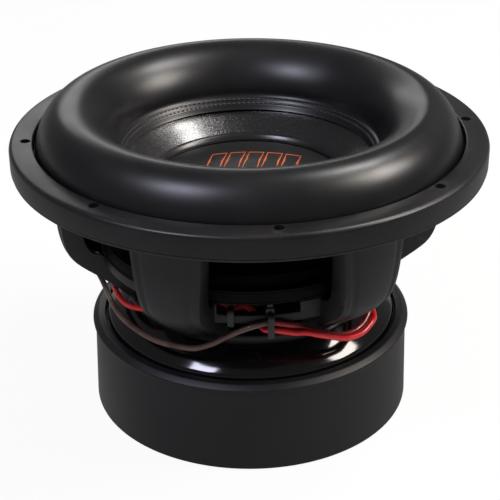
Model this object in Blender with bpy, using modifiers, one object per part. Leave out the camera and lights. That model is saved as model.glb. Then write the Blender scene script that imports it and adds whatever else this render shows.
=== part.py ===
"""Twelve-inch car subwoofer driver with a cast six-spoke basket and a booted double magnet.

Units are metres, +Z runs up through the cone and the origin is under the middle of the magnet boot.
Depths are measured down from the top face of the trim ring, which is how the driver hangs in a box.
Angles are degrees about +Z; the window that faces the viewer of the front is at 270 degrees.
"""

import math

import bmesh
import bpy
from mathutils import Matrix, Vector

# ---------------------------------------------------------------- driving dimensions
OVERALL_RADIUS = 0.160
FLANGE_TOP = 0.1976
GAP = 0.0003
SEGMENTS = 32
HOLE_SEGMENTS = 12
BAR_TURN = math.radians(8.0)

BOLT_CIRCLE_RADIUS = 0.149
BOLT_HOLE_RADIUS = 0.0035
BOLT_HOLE_COUNT = 8

SPOKE_COUNT = 6
SPOKE_WALL = 0.0045
SPOKE_SKIN = 0.0055
SPOKE_CROWN = 0.0040
FRONT_ANGLE = 270.0

LANDING_OUTER = 0.1035
LANDING_INNER = 0.0955
LANDING_DEPTH = 0.0770
LANDING_HEIGHT = 0.0070

BASE_DEPTH = 0.1165
PLATE_DEPTH = BASE_DEPTH + GAP
PLATE_THICK = 0.0199
MAGNET_THICK = 0.0210
MAGNET_RADIUS = 0.1075
MAGNET_BORE = 0.0550
YOKE_PLATE_THICK = 0.0137
YOKE_PLATE_RADIUS = 0.104
POLE_RADIUS = 0.0370
VENT_RADIUS = 0.0160
PLATE_BORE = 0.0416

FORMER_INNER = 0.0382
FORMER_OUTER = 0.0387
FORMER_TOP_DEPTH = 0.0540
FORMER_BOTTOM_DEPTH = 0.1530
COIL_TOP_DEPTH = 0.1020
COIL_HEIGHT = 0.0500

ROLL_CENTRE = 0.1190
ROLL_OUTER_HALF = 0.0235
ROLL_INNER_HALF = 0.0290
ROLL_FOOT_DEPTH = 0.0080
ROLL_HEIGHT = 0.0310
RUBBER_THICK = 0.0011

FRAME_BOLT_CIRCLE = 0.068
TERMINAL_ANGLES = {"right": 30.0, "left": 150.0}
BUTTON_OFFSET = 0.009
WIRE_RADIUS = 0.0020

parts = None
cutters = None


# ---------------------------------------------------------------- small helpers
def height(depth):
    """World height of a depth below the trim ring's top face."""
    return FLANGE_TOP - depth


def polar(radius, angle, depth):
    """Point at a radius, an angle in degrees and a depth."""
    turn = math.radians(angle)
    return Vector((radius * math.cos(turn), radius * math.sin(turn), height(depth)))


def clear_scene():
    """Remove every object that the new scene starts with."""
    for item in list(bpy.data.objects):
        bpy.data.objects.remove(item, do_unlink=True)


def new_collection(name):
    """Add a collection under the scene's own one."""
    group = bpy.data.collections.new(name)
    bpy.context.scene.collection.children.link(group)
    return group


def make_material(name, colour, roughness, metallic=0.0):
    """Principled material with a colour, a roughness and a metallic value."""
    material = bpy.data.materials.new(name)
    material.use_nodes = True
    shader = material.node_tree.nodes["Principled BSDF"]
    shader.inputs["Base Color"].default_value = (*colour, 1.0)
    shader.inputs["Roughness"].default_value = roughness
    shader.inputs["Metallic"].default_value = metallic
    return material


def place(name, mesh, material=None, smooth=True):
    """Link a mesh as a sub-part, or as a cutter when it has no material."""
    item = bpy.data.objects.new(name, mesh)
    if material is None:
        cutters.objects.link(item)
        item.hide_render = True
        item.display_type = "WIRE"
    else:
        parts.objects.link(item)
        mesh.materials.append(material)
    if smooth:
        mesh.shade_smooth()
        mesh.set_sharp_from_angle(angle=math.radians(35))
    return item


def mesh_from(work, name):
    """Turn a bmesh into a named mesh with its faces pointing out."""
    bmesh.ops.recalc_face_normals(work, faces=work.faces)
    mesh = bpy.data.meshes.new(name)
    work.to_mesh(mesh)
    work.free()
    return mesh


def clockwise(outline):
    """Order an outline of (radius, depth) so that it runs down its outer side."""
    area = 0.0
    for (r0, d0), (r1, d1) in zip(outline, outline[1:] + outline[:1]):
        area += r0 * d1 - r1 * d0
    return outline if area > 0 else outline[::-1]


def turned(name, outline, material=None, on_axis=False, segments=SEGMENTS):
    """Turn an outline of (radius, depth) points about the driver's axis."""
    points = clockwise(outline)
    if on_axis:
        first = [r > 0 for r, _ in points].index(True)
        points = points[first:] + points[:first]
        while points[0][0] > 0:
            points = points[1:] + points[:1]
        while points[1][0] == 0:
            points = points[1:] + points[:1]
    work = bmesh.new()
    verts = [work.verts.new((r, 0.0, height(d))) for r, d in points]
    for a, b in zip(verts, verts[1:]):
        work.edges.new((a, b))
    if not on_axis:
        work.edges.new((verts[-1], verts[0]))
    mesh = bpy.data.meshes.new(name)
    work.to_mesh(mesh)
    work.free()
    item = place(name, mesh, material, smooth=False)
    screw = item.modifiers.new("turn", "SCREW")
    screw.steps = segments
    screw.render_steps = segments
    screw.use_merge_vertices = True
    screw.merge_threshold = 0.00001
    screw.use_smooth_shade = True
    return item


def ring(name, inner, outer, top, bottom, material=None, segments=SEGMENTS):
    """Plain ring between two radii and two depths."""
    outline = [(inner, top), (outer, top), (outer, bottom), (inner, bottom)]
    return turned(name, outline, material, segments=segments)


def skin_outline(middle, thickness):
    """Closed outline of a thin wall around a line of (radius, depth) points."""
    upper, lower = [], []
    for i, point in enumerate(middle):
        before = Vector(middle[max(i - 1, 0)])
        after = Vector(middle[min(i + 1, len(middle) - 1)])
        along = (after - before).normalized()
        normal = Vector((-along.y, along.x)) * thickness / 2
        upper.append(tuple(Vector(point) + normal))
        lower.append(tuple(Vector(point) - normal))
    return upper + lower[::-1]


def loft(name, sections, material=None, looped=False, smooth=True):
    """Skin a row of closed sections, each a list of points, and cap the ends."""
    work = bmesh.new()
    rows = [[work.verts.new(point) for point in section] for section in sections]
    pairs = list(zip(rows, rows[1:]))
    if looped:
        pairs.append((rows[-1], rows[0]))
    for row, after in pairs:
        count = len(row)
        for i in range(count):
            j = (i + 1) % count
            work.faces.new((row[i], row[j], after[j], after[i]))
    if not looped:
        work.faces.new(rows[0])
        work.faces.new(rows[-1])
    return place(name, mesh_from(work, name), material, smooth)


def arc_bar(name, inner, outer, top, bottom, start, end, steps=8, material=None):
    """Curved bar of rectangular section between two angles."""
    sections = []
    for i in range(steps + 1):
        angle = start + (end - start) * i / steps
        corners = ((inner, top), (outer, top), (outer, bottom), (inner, bottom))
        sections.append([polar(r, angle, d) for r, d in corners])
    return loft(name, sections, material, smooth=False)


def block(name, size, centre, angle=0.0, material=None, bevel=0.0):
    """Box of (tangential, radial, height) size; its centre is (tangential, radial, depth)."""
    work = bmesh.new()
    bmesh.ops.create_cube(work, size=1.0)
    bmesh.ops.scale(work, vec=size, verts=work.verts)
    if bevel:
        bmesh.ops.bevel(work, geom=work.edges[:], offset=bevel, segments=2, affect="EDGES", profile=0.5)
    move = Matrix.Translation((centre[0], centre[1], height(centre[2])))
    bmesh.ops.transform(work, matrix=move, verts=work.verts)
    item = place(name, mesh_from(work, name), material, smooth=False)
    item.matrix_world = facing(angle)
    return item


def facing(angle):
    """Turn that carries the +Y direction to an angle about the axis, tangential +X before it."""
    return Matrix.Rotation(math.radians(angle - 90.0), 4, "Z")


def bar_between(work, start, end, radius, segments=HOLE_SEGMENTS):
    """Add a capped round bar between two points, its corners turned off the neighbours' edges."""
    axis = end - start
    turn = Vector((0, 0, 1)).rotation_difference(axis).to_matrix().to_4x4()
    frame = Matrix.Translation((start + end) / 2) @ turn @ Matrix.Rotation(BAR_TURN, 4, "Z")
    bmesh.ops.create_cone(work, cap_ends=True, segments=segments, radius1=radius,
                          radius2=radius, depth=axis.length, matrix=frame)


def bars(name, runs, material=None, segments=HOLE_SEGMENTS):
    """One object of separate round bars, each run given as (start, end, radius)."""
    work = bmesh.new()
    for start, end, radius in runs:
        bar_between(work, start, end, radius, segments)
    return place(name, mesh_from(work, name), material)


def headed_screw(name, shank, head, material):
    """Screw of a shank and a wider head, each given as (start, end, radius)."""
    screw = bars(name, [shank], material)
    boolean(screw, bars(name + "_head_form", [head]), "UNION")


def boolean(item, other, operation):
    """Add an exact Boolean against another object, which is kept as a cutter."""
    step = item.modifiers.new(other.name, "BOOLEAN")
    step.operation = operation
    step.solver = "EXACT"
    step.object = other


def smooth_route(points, spacing):
    """Catmull-Rom curve through the points, read at an even spacing."""
    padded = [points[0] * 2 - points[1]] + points + [points[-1] * 2 - points[-2]]
    fine = []
    for p0, p1, p2, p3 in zip(padded, padded[1:], padded[2:], padded[3:]):
        for i in range(20):
            t = i / 20
            fine.append(0.5 * (2 * p1 + (p2 - p0) * t + (2 * p0 - 5 * p1 + 4 * p2 - p3) * t * t
                               + (3 * p1 - p0 - 3 * p2 + p3) * t ** 3))
    fine.append(points[-1])
    total = sum((b - a).length for a, b in zip(fine, fine[1:]))
    count = max(2, round(total / spacing))
    result, walked, target = [fine[0]], 0.0, total / count
    for a, b in zip(fine, fine[1:]):
        step = (b - a).length
        while walked + step >= target - 1e-9 and len(result) < count:
            result.append(a.lerp(b, (target - walked) / step))
            target += total / count
        walked += step
    result.append(fine[-1])
    return result


def tube(name, route, radius, spacing, material, resolution=2):
    """Round wire along a smooth route."""
    curve = bpy.data.curves.new(name, "CURVE")
    curve.dimensions = "3D"
    curve.bevel_depth = radius
    curve.bevel_resolution = resolution
    curve.use_fill_caps = True
    points = smooth_route(route, spacing)
    spline = curve.splines.new("POLY")
    spline.points.add(len(points) - 1)
    for spot, point in zip(spline.points, points):
        spot.co = (*point, 1.0)
    item = bpy.data.objects.new(name, curve)
    curve.materials.append(material)
    parts.objects.link(item)
    return item


# ---------------------------------------------------------------- trim ring and basket
def bolt_hole_cutter():
    """Eight mounting holes through the trim ring and the basket flange."""
    runs = []
    for i in range(BOLT_HOLE_COUNT):
        angle = 360.0 * i / BOLT_HOLE_COUNT
        top = polar(BOLT_CIRCLE_RADIUS, angle, -0.005)
        bottom = polar(BOLT_CIRCLE_RADIUS, angle, 0.022)
        runs.append((bottom, top, BOLT_HOLE_RADIUS))
    return bars("mounting_hole_cutter", runs)


def build_trim_ring(material, holes):
    """Trim ring that covers the surround's outer foot and the edge of the basket flange."""
    skirt = OVERALL_RADIUS - 0.003
    outline = [
        (0.1450, 0.0), (0.1570, 0.0), (0.1590, 0.0008), (OVERALL_RADIUS, 0.0025),
        (OVERALL_RADIUS, 0.0150), (skirt, 0.0150), (skirt, 0.0092), (0.1475, 0.0092),
        (0.1475, 0.0078), (0.1440, 0.0078), (0.1440, 0.0010),
    ]
    item = turned("trim_ring", outline, material)
    boolean(item, holes, "DIFFERENCE")


def spoke_sections(angle):
    """Sections of one hollow-backed spoke from the flange to the base ring.

    Each station gives the outer point, the inner point and half the width.
    """
    stations = (
        ((0.1340, 0.0149), (0.1212, 0.0152), 0.0255),
        ((0.1338, 0.0300), (0.1186, 0.0304), 0.0245),
        ((0.1330, 0.0550), (0.1160, 0.0550), 0.0225),
        ((0.1310, 0.0700), (0.1135, 0.0690), 0.0210),
        ((0.1270, 0.0805), (0.1090, 0.0760), 0.0200),
        ((0.1200, 0.0885), (0.1020, 0.0790), 0.0195),
        ((0.1050, 0.1000), (0.0940, 0.0900), 0.0190),
        ((0.0930, 0.1100), (0.0860, 0.1000), 0.0190),
        ((0.0860, 0.1160), (0.0800, 0.1085), 0.0190),
    )
    turn = Matrix.Rotation(math.radians(angle), 4, "Z")
    sections = []
    for outer, inner, half in stations:
        start = Vector((outer[0], 0.0, height(outer[1])))
        end = Vector((inner[0], 0.0, height(inner[1])))
        inward = (end - start).normalized()
        depth = (end - start).length
        web = half - SPOKE_WALL
        corners = (
            (0.0, 0.0), (half * 0.6, SPOKE_CROWN * 0.35), (half, SPOKE_CROWN), (half, depth),
            (web, depth), (web, SPOKE_SKIN + SPOKE_CROWN), (-web, SPOKE_SKIN + SPOKE_CROWN),
            (-web, depth), (-half, depth), (-half, SPOKE_CROWN), (-half * 0.6, SPOKE_CROWN * 0.35),
        )
        section = []
        for across, inwards in corners:
            section.append(turn @ (start + inward * inwards + Vector((0.0, across, 0.0))))
        sections.append(section)
    return sections


def terminal_screw_runs(angle, start, end, radius):
    """Round bars on the two screw lines of one terminal block."""
    turn = facing(angle)
    runs = []
    for side in (-0.023, 0.023):
        a = turn @ Vector((side, start, height(0.082)))
        b = turn @ Vector((side, end, height(0.082)))
        runs.append((a, b, radius))
    return runs


def build_basket(material, holes, bolt_holes):
    """Cast basket: flange, six spokes, spider landing, terminal bosses and base ring."""
    flange = [
        (0.1190, 0.0136), (0.1380, 0.0136), (0.1390, 0.0095), (0.1565, 0.0095), (0.1565, 0.0153),
        (0.1594, 0.0153), (0.1594, 0.0171), (0.1190, 0.0171),
    ]
    basket = turned("basket", flange, material)
    base = [
        (0.0500, 0.1110), (0.0760, 0.1110), (0.0790, 0.1085), (0.0870, 0.1085), (0.0880, 0.1100),
        (0.0880, 0.1130), (0.0860, BASE_DEPTH), (0.0500, BASE_DEPTH),
    ]
    joined = [turned("base_ring_form", base)]
    landing_bottom = LANDING_DEPTH + LANDING_HEIGHT
    joined.append(ring("landing_form", LANDING_INNER, LANDING_OUTER, LANDING_DEPTH, landing_bottom))
    joined.append(arc_bar("front_bar_form", 0.0968, 0.1032, LANDING_DEPTH + 0.0005, 0.0910,
                          FRONT_ANGLE - 26.0, FRONT_ANGLE + 26.0))
    for side, angle in TERMINAL_ANGLES.items():
        joined.append(block(side + "_boss_form", (0.054, 0.0062, 0.0132), (0.0, 0.1006, 0.0838), angle))
    for i in range(SPOKE_COUNT):
        angle = 360.0 * i / SPOKE_COUNT
        joined.append(loft("spoke_form_%d" % i, spoke_sections(angle), smooth=False))
    for form in joined:
        boolean(basket, form, "UNION")
    notch = arc_bar("notch_cutter", 0.0940, 0.1060, 0.0720, landing_bottom + 0.0004,
                    FRONT_ANGLE - 18.5, FRONT_ANGLE + 11.5)
    boolean(basket, notch, "DIFFERENCE")
    boolean(basket, holes, "DIFFERENCE")
    boolean(basket, bolt_holes, "DIFFERENCE")
    for side, angle in TERMINAL_ANGLES.items():
        screws = bars(side + "_screw_hole_cutter", terminal_screw_runs(angle, 0.094, 0.110, 0.0018))
        boolean(basket, screws, "DIFFERENCE")
        for sign in (-1, 1):
            slot = block("%s_slot_cutter_%d" % (side, sign), (0.0060, 0.016, 0.0016),
                         (sign * BUTTON_OFFSET, 0.1006, 0.0820), angle)
            boolean(basket, slot, "DIFFERENCE")


# ---------------------------------------------------------------- surround, cone and coil
def roll_line(points):
    """Middle line of the tall roll, from its outer foot to its inner foot."""
    line = []
    for i in range(points + 1):
        turn = math.pi * i / points
        half = ROLL_OUTER_HALF if turn < math.pi / 2 else ROLL_INNER_HALF
        power = 2 / 1.9 if turn < math.pi / 2 else 2 / 1.7
        across = math.copysign(abs(math.cos(turn)) ** power, math.cos(turn)) * half
        rise = math.sin(turn) ** power * ROLL_HEIGHT
        line.append((ROLL_CENTRE + across, ROLL_FOOT_DEPTH - rise))
    return line


def build_surround(material):
    """Rubber surround: outer foot, tall roll and the steep flange stitched to the cone."""
    foot = [(0.1470, 0.00865), (0.1432, 0.00865)]
    flange = [(0.0892, 0.0092), (0.0829, 0.0180)]
    outline = skin_outline(foot + roll_line(10)[1:-1] + flange, RUBBER_THICK)
    turned("surround", outline, material)


def build_stitching(material):
    """Two rows of thread that hold the surround's flange to the cone."""
    for name, outer, top in (("stitching_outer", 0.0866, 0.0107), ("stitching_inner", 0.0850, 0.0131)):
        ring(name, outer - 0.0008, outer, top, top + 0.0008, material)


def build_cone(material):
    """Pressed paper cone from the surround down to the coil former."""
    middle = [(0.0910, 0.0093), (0.0843, 0.0203), (0.0690, 0.0320), (0.0540, 0.0446), (0.0400, 0.0562)]
    turned("cone", skin_outline(middle, 0.0016), material)


def build_dust_cap(cap_material, ring_material):
    """Domed dust cap and the moulded ring around its edge."""
    outline = [(0.0682, 0.03045), (0.0674, 0.0296), (0.0636, 0.0330), (0.0632, 0.0347)]
    turned("dust_cap_ring", outline, ring_material)
    edge, rise, apex, wall = 0.0625, 0.0105, 0.0240, 0.0012
    curve_radius = (edge ** 2 + rise ** 2) / (2 * rise)
    upper = []
    for i in range(5):
        r = edge * i / 4
        upper.append((r, apex + curve_radius - math.sqrt(curve_radius ** 2 - r ** 2)))
    lower = [(r, d + wall) for r, d in reversed(upper)]
    turned("dust_cap", upper + lower, cap_material, on_axis=True)


def build_coil(former_material, copper):
    """Coil former and the two voice coil windings laid one over the other."""
    ring("coil_former", FORMER_INNER, FORMER_OUTER, FORMER_TOP_DEPTH, FORMER_BOTTOM_DEPTH, former_material)
    bottom = COIL_TOP_DEPTH + COIL_HEIGHT
    ring("voice_coil_inner", 0.0390, 0.0396, COIL_TOP_DEPTH, bottom, copper)
    ring("voice_coil_outer", 0.0399, 0.0406, COIL_TOP_DEPTH, bottom, copper)


def build_spider(name, rim_depth, material):
    """Corrugated spider with a flat glued rim and rolls raised above it."""
    middle = [(0.1030, rim_depth), (0.0950, rim_depth), (0.0915, rim_depth - 0.0055)]
    rolls = 8
    for i in range(1, rolls):
        r = 0.0915 + (0.0440 - 0.0915) * i / rolls
        swing = 0.0018 if i % 2 else -0.0018
        middle.append((r, rim_depth - 0.0055 + swing))
    middle.append((0.0440, rim_depth - 0.0055))
    middle.append((0.0395, rim_depth - 0.0055))
    turned(name, skin_outline(middle, 0.0008), material)


def build_suspension(cloth, plastic):
    """Two spiders on the landing with a spacer ring between their rims."""
    lower_rim = LANDING_DEPTH - GAP - 0.0004
    spacer_bottom = lower_rim - 0.0004 - GAP
    spacer_top = spacer_bottom - 0.0070
    upper_rim = spacer_top - GAP - 0.0004
    build_spider("spider_lower", lower_rim, cloth)
    ring("spider_spacer_ring", 0.0962, 0.1030, spacer_top, spacer_bottom, plastic)
    build_spider("spider_upper", upper_rim, cloth)


# ---------------------------------------------------------------- motor
def frame_bolt_runs(start, end, radius):
    """Upright bars on the six bolt lines at the feet of the spokes."""
    runs = []
    for i in range(SPOKE_COUNT):
        angle = 360.0 * i / SPOKE_COUNT
        runs.append((polar(FRAME_BOLT_CIRCLE, angle, end), polar(FRAME_BOLT_CIRCLE, angle, start), radius))
    return runs


def build_motor(steel, ferrite, copper, screen_material, bolt_holes):
    """Top plate, two ferrite rings, T-yoke with its vent, shorting ring and vent screen."""
    plate_bottom = PLATE_DEPTH + PLATE_THICK
    plate = [
        (PLATE_BORE, PLATE_DEPTH), (0.0840, PLATE_DEPTH), (0.1008, 0.1321), (0.1015, 0.1332),
        (0.1015, plate_bottom), (PLATE_BORE, plate_bottom),
    ]
    boolean(turned("top_plate", plate, steel), bolt_holes, "DIFFERENCE")
    upper_top = plate_bottom + GAP
    lower_top = upper_top + MAGNET_THICK + GAP
    yoke_top = lower_top + MAGNET_THICK + GAP
    ring("magnet_upper", MAGNET_BORE, MAGNET_RADIUS, upper_top, upper_top + MAGNET_THICK, ferrite)
    ring("magnet_lower", MAGNET_BORE, MAGNET_RADIUS, lower_top, lower_top + MAGNET_THICK, ferrite)
    yoke_bottom = yoke_top + YOKE_PLATE_THICK
    pole_top = 0.1130
    yoke = [
        (0.0200, pole_top), (POLE_RADIUS, pole_top), (POLE_RADIUS, yoke_top),
        (YOKE_PLATE_RADIUS, yoke_top), (YOKE_PLATE_RADIUS, yoke_bottom), (0.0240, yoke_bottom),
        (VENT_RADIUS, yoke_bottom - 0.0100), (VENT_RADIUS, pole_top + 0.0040),
    ]
    turned("pole_yoke", yoke, steel)
    ring("shorting_ring", POLE_RADIUS + GAP, 0.0540, yoke_top - GAP - 0.0070, yoke_top - GAP, copper)
    screen_depth = yoke_bottom - 0.0130
    screen = [(0.0, screen_depth), (VENT_RADIUS - GAP, screen_depth), (VENT_RADIUS - GAP, screen_depth + 0.0012),
              (0.0, screen_depth + 0.0012)]
    turned("vent_screen", screen, screen_material, on_axis=True)
    return yoke_bottom


def build_boot(material, yoke_bottom):
    """Rubber boot around the magnets, with a lip over the plate and a flange under the yoke."""
    floor = yoke_bottom + GAP
    lip_under = PLATE_DEPTH + PLATE_THICK
    outline = [
        (0.1033, 0.1330), (0.1075, 0.1330), (0.1122, 0.1360), (0.1122, 0.1376), (0.1104, 0.1386),
        (0.1120, FLANGE_TOP), (0.0700, FLANGE_TOP), (0.0700, floor), (0.1078, floor),
        (0.1078, lip_under), (0.1033, lip_under),
    ]
    turned("magnet_boot", outline, material)


def build_frame_bolts(material):
    """Six cap screws that hold the basket to the top plate."""
    shanks = frame_bolt_runs(0.1100, 0.1290, 0.0030)
    heads = frame_bolt_runs(0.1060, 0.1107, 0.0050)
    for i, (shank, head) in enumerate(zip(shanks, heads), start=1):
        headed_screw("frame_bolt_%d" % i, shank, head, material)


# ---------------------------------------------------------------- terminals and wires
def build_terminal(side, angle, plastic, red, black, metal, steel):
    """Push terminal block with two spring buttons, its contacts and its screws."""
    turn = facing(angle)
    body = block("terminal_body_" + side, (0.038, 0.0140, 0.020), (0.0, 0.1112, 0.0820), angle,
                 plastic, bevel=0.0010)
    ears = block(side + "_ear_form", (0.054, 0.0030, 0.010), (0.0, 0.1057, 0.0820), angle)
    boolean(body, ears, "UNION")
    ear_holes = bars(side + "_ear_hole_cutter", terminal_screw_runs(angle, 0.100, 0.112, 0.0018))
    boolean(body, ear_holes, "DIFFERENCE")
    for sign, name, colour in ((-1, "black", black), (1, "red", red)):
        across = sign * BUTTON_OFFSET
        pocket = block("%s_%s_pocket_cutter" % (side, name), (0.0106, 0.0110, 0.0066),
                       (across, 0.1145, 0.0775), angle)
        boolean(body, pocket, "DIFFERENCE")
        wire_start = turn @ Vector((across, 0.1095, height(0.0872)))
        wire_end = turn @ Vector((across, 0.1220, height(0.0872)))
        hole = bars("%s_%s_wire_hole_cutter" % (side, name), [(wire_start, wire_end, 0.0027)])
        boolean(body, hole, "DIFFERENCE")
        slot = block("%s_%s_contact_cutter" % (side, name), (0.0060, 0.0060, 0.0016),
                     (across, 0.1050, 0.0820), angle)
        boolean(body, slot, "DIFFERENCE")
        build_button(side, name, angle, across, colour)
        block("terminal_contact_%s_%s" % (name, side), (0.0050, 0.0150, 0.0008),
              (across, 0.0998, 0.0820), angle, metal)
    shanks = terminal_screw_runs(angle, 0.0985, 0.1080, 0.0014)
    heads = terminal_screw_runs(angle, 0.1075, 0.1097, 0.0028)
    for i, (shank, head) in enumerate(zip(shanks, heads), start=1):
        headed_screw("terminal_screw_%s_%d" % (side, i), shank, head, steel)


def build_button(side, name, angle, across, material):
    """Spring button that slides straight in; its own origin sits on the slide line."""
    size = (0.0100, 0.0085, 0.0060)
    work = bmesh.new()
    bmesh.ops.create_cube(work, size=1.0)
    bmesh.ops.scale(work, vec=size, verts=work.verts)
    bmesh.ops.bevel(work, geom=work.edges[:], offset=0.0008, segments=2, affect="EDGES", profile=0.5)
    item = place("button_%s_%s" % (name, side), mesh_from(work, name), material, smooth=False)
    centre = Matrix.Translation((across, 0.1172, height(0.0775)))
    item.matrix_world = facing(angle) @ centre


def terminal_mouth(side, sign):
    """Straight run out of one wire hole of a terminal block, ending in the start of its bend."""
    turn = facing(TERMINAL_ANGLES[side])
    run = ((0.1105, 0.0872), (0.1150, 0.0872), (0.1192, 0.0872), (0.1230, 0.0888))
    return [turn @ Vector((sign * BUTTON_OFFSET, reach, height(depth))) for reach, depth in run]


def build_wires(red, brown):
    """Red and brown jumper wires laid around the basket from one terminal to the other."""
    brown_route = terminal_mouth("left", -1) + [
        polar(0.1250, 155.2, 0.0935), polar(0.1215, 159.0, 0.1010), polar(0.1125, 166.0, 0.1095),
        polar(0.1045, 174.0, 0.1145), polar(0.1010, 182.0, 0.1158), polar(0.1000, 192.0, 0.1153),
        polar(0.1000, 203.0, 0.1163), polar(0.1000, 215.0, 0.1170), polar(0.1005, 225.5, 0.1170),
        polar(0.1010, 234.5, 0.1154), polar(0.1022, 242.8, 0.1128), polar(0.1036, 250.0, 0.1062),
        polar(0.1048, 254.6, 0.1000), polar(0.1056, 259.2, 0.0949), polar(0.1057, 265.5, 0.0903),
        polar(0.1059, 271.0, 0.0886), polar(0.1054, 277.0, 0.0917), polar(0.1031, 282.5, 0.0969),
        polar(0.1036, 288.0, 0.1014), polar(0.1036, 293.5, 0.1058), polar(0.1031, 298.0, 0.1096),
        polar(0.1024, 303.0, 0.1121), polar(0.1018, 308.0, 0.1123), polar(0.1010, 313.0, 0.1094),
        polar(0.0980, 318.5, 0.1040), polar(0.0930, 325.0, 0.1000), polar(0.0872, 335.0, 0.0975),
        polar(0.0850, 348.0, 0.0968), polar(0.0838, 2.0, 0.0972), polar(0.0838, 11.0, 0.0985),
        polar(0.0895, 18.0, 0.1005), polar(0.1010, 21.0, 0.1023), polar(0.1120, 23.5, 0.1008),
        polar(0.1205, 25.0, 0.0955),
    ] + terminal_mouth("right", 1)[::-1]
    red_route = terminal_mouth("left", 1) + [
        polar(0.1235, 145.2, 0.0930), polar(0.1175, 147.5, 0.1005), polar(0.1080, 153.0, 0.1065),
        polar(0.1005, 163.0, 0.1095), polar(0.0976, 176.0, 0.1099), polar(0.0958, 191.0, 0.1096),
        polar(0.0950, 200.0, 0.1093), polar(0.0945, 207.0, 0.1066), polar(0.0915, 214.0, 0.1040),
        polar(0.0870, 224.0, 0.0990), polar(0.0860, 234.0, 0.0920), polar(0.0890, 242.0, 0.0830),
        polar(0.0915, 248.5, 0.0802), polar(0.0920, 252.5, 0.0828), polar(0.0920, 256.5, 0.0852),
        polar(0.0920, 260.8, 0.0838), polar(0.0922, 264.0, 0.0862), polar(0.0930, 265.8, 0.0918),
        polar(0.0966, 267.2, 0.0955), polar(0.1015, 268.8, 0.0962), polar(0.1050, 271.2, 0.0945),
        polar(0.1061, 275.8, 0.0959), polar(0.1073, 279.3, 0.0972), polar(0.1077, 282.5, 0.0978),
        polar(0.1081, 287.8, 0.1017), polar(0.1082, 293.0, 0.1060), polar(0.1077, 297.5, 0.1099),
        polar(0.1070, 302.5, 0.1125), polar(0.1064, 308.0, 0.1130), polar(0.1054, 313.5, 0.1102),
        polar(0.1030, 316.8, 0.1102), polar(0.0985, 320.0, 0.1086),
        polar(0.0905, 327.0, 0.1050), polar(0.0842, 336.0, 0.1028), polar(0.0815, 348.0, 0.1014),
        polar(0.0808, 2.0, 0.1018), polar(0.0828, 14.0, 0.1035), polar(0.0900, 22.0, 0.1058),
        polar(0.1010, 28.0, 0.1065), polar(0.1125, 32.5, 0.1040), polar(0.1205, 34.8, 0.0965),
    ] + terminal_mouth("right", -1)[::-1]
    tube("brown_wire", brown_route, WIRE_RADIUS, 0.0085, brown)
    tube("red_wire", red_route, WIRE_RADIUS, 0.0085, red)


def build_tie(name, angle, inner, outer, top, bottom, material):
    """Cable tie: a flat strap bent round a bar and its wires, with its square head on top."""
    strap, half_width, corner = 0.0011, 0.0021, 0.0018
    corners = ((outer, top, 1, 1), (outer, bottom, 1, -1), (inner, bottom, -1, -1), (inner, top, -1, 1))
    sections = []
    for r, d, out, up in corners:
        start = {(1, 1): 90, (1, -1): 0, (-1, -1): -90, (-1, 1): -180}[(out, up)]
        for i in range(3):
            turn = math.radians(start - 45 * i)
            centre = Vector((r - out * corner, 0.0, height(d) - up * corner))
            direction = Vector((math.cos(turn), 0.0, math.sin(turn)))
            section = []
            for across, reach in ((-1, 0.0), (1, 0.0), (1, strap), (-1, strap)):
                section.append(centre + direction * (corner + reach) + Vector((0.0, across * half_width, 0.0)))
            sections.append(section)
    item = loft(name, sections, material, looped=True, smooth=False)
    turn = Matrix.Rotation(math.radians(angle), 4, "Z")
    item.matrix_world = turn
    head_place = Matrix.Translation(((inner + outer) / 2, 0.0, height(top) + 0.0022))
    work = bmesh.new()
    bmesh.ops.create_cube(work, size=1.0)
    bmesh.ops.scale(work, vec=(0.0050, 0.0056, 0.0040), verts=work.verts)
    head = place(name + "_head_form", mesh_from(work, name), smooth=False)
    head.matrix_world = turn @ head_place
    boolean(item, head, "UNION")


def build_tinsel(side, angle, material):
    """Two flexible leads from the coil former to the tabs of one terminal block."""
    turn = facing(angle)
    for sign, colour in ((-1, "black"), (1, "red")):
        across = sign * BUTTON_OFFSET
        tube("tinsel_lead_%s_%s" % (colour, side), [
            turn @ Vector((across * 0.8, 0.0402, height(0.0790))),
            turn @ Vector((across * 0.9, 0.0500, height(0.0830))),
            turn @ Vector((across, 0.0640, height(0.0925))),
            turn @ Vector((across, 0.0800, height(0.0900))),
            turn @ Vector((across, 0.0915, height(0.0822))),
        ], 0.0009, 0.0060, material, resolution=1)


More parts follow.
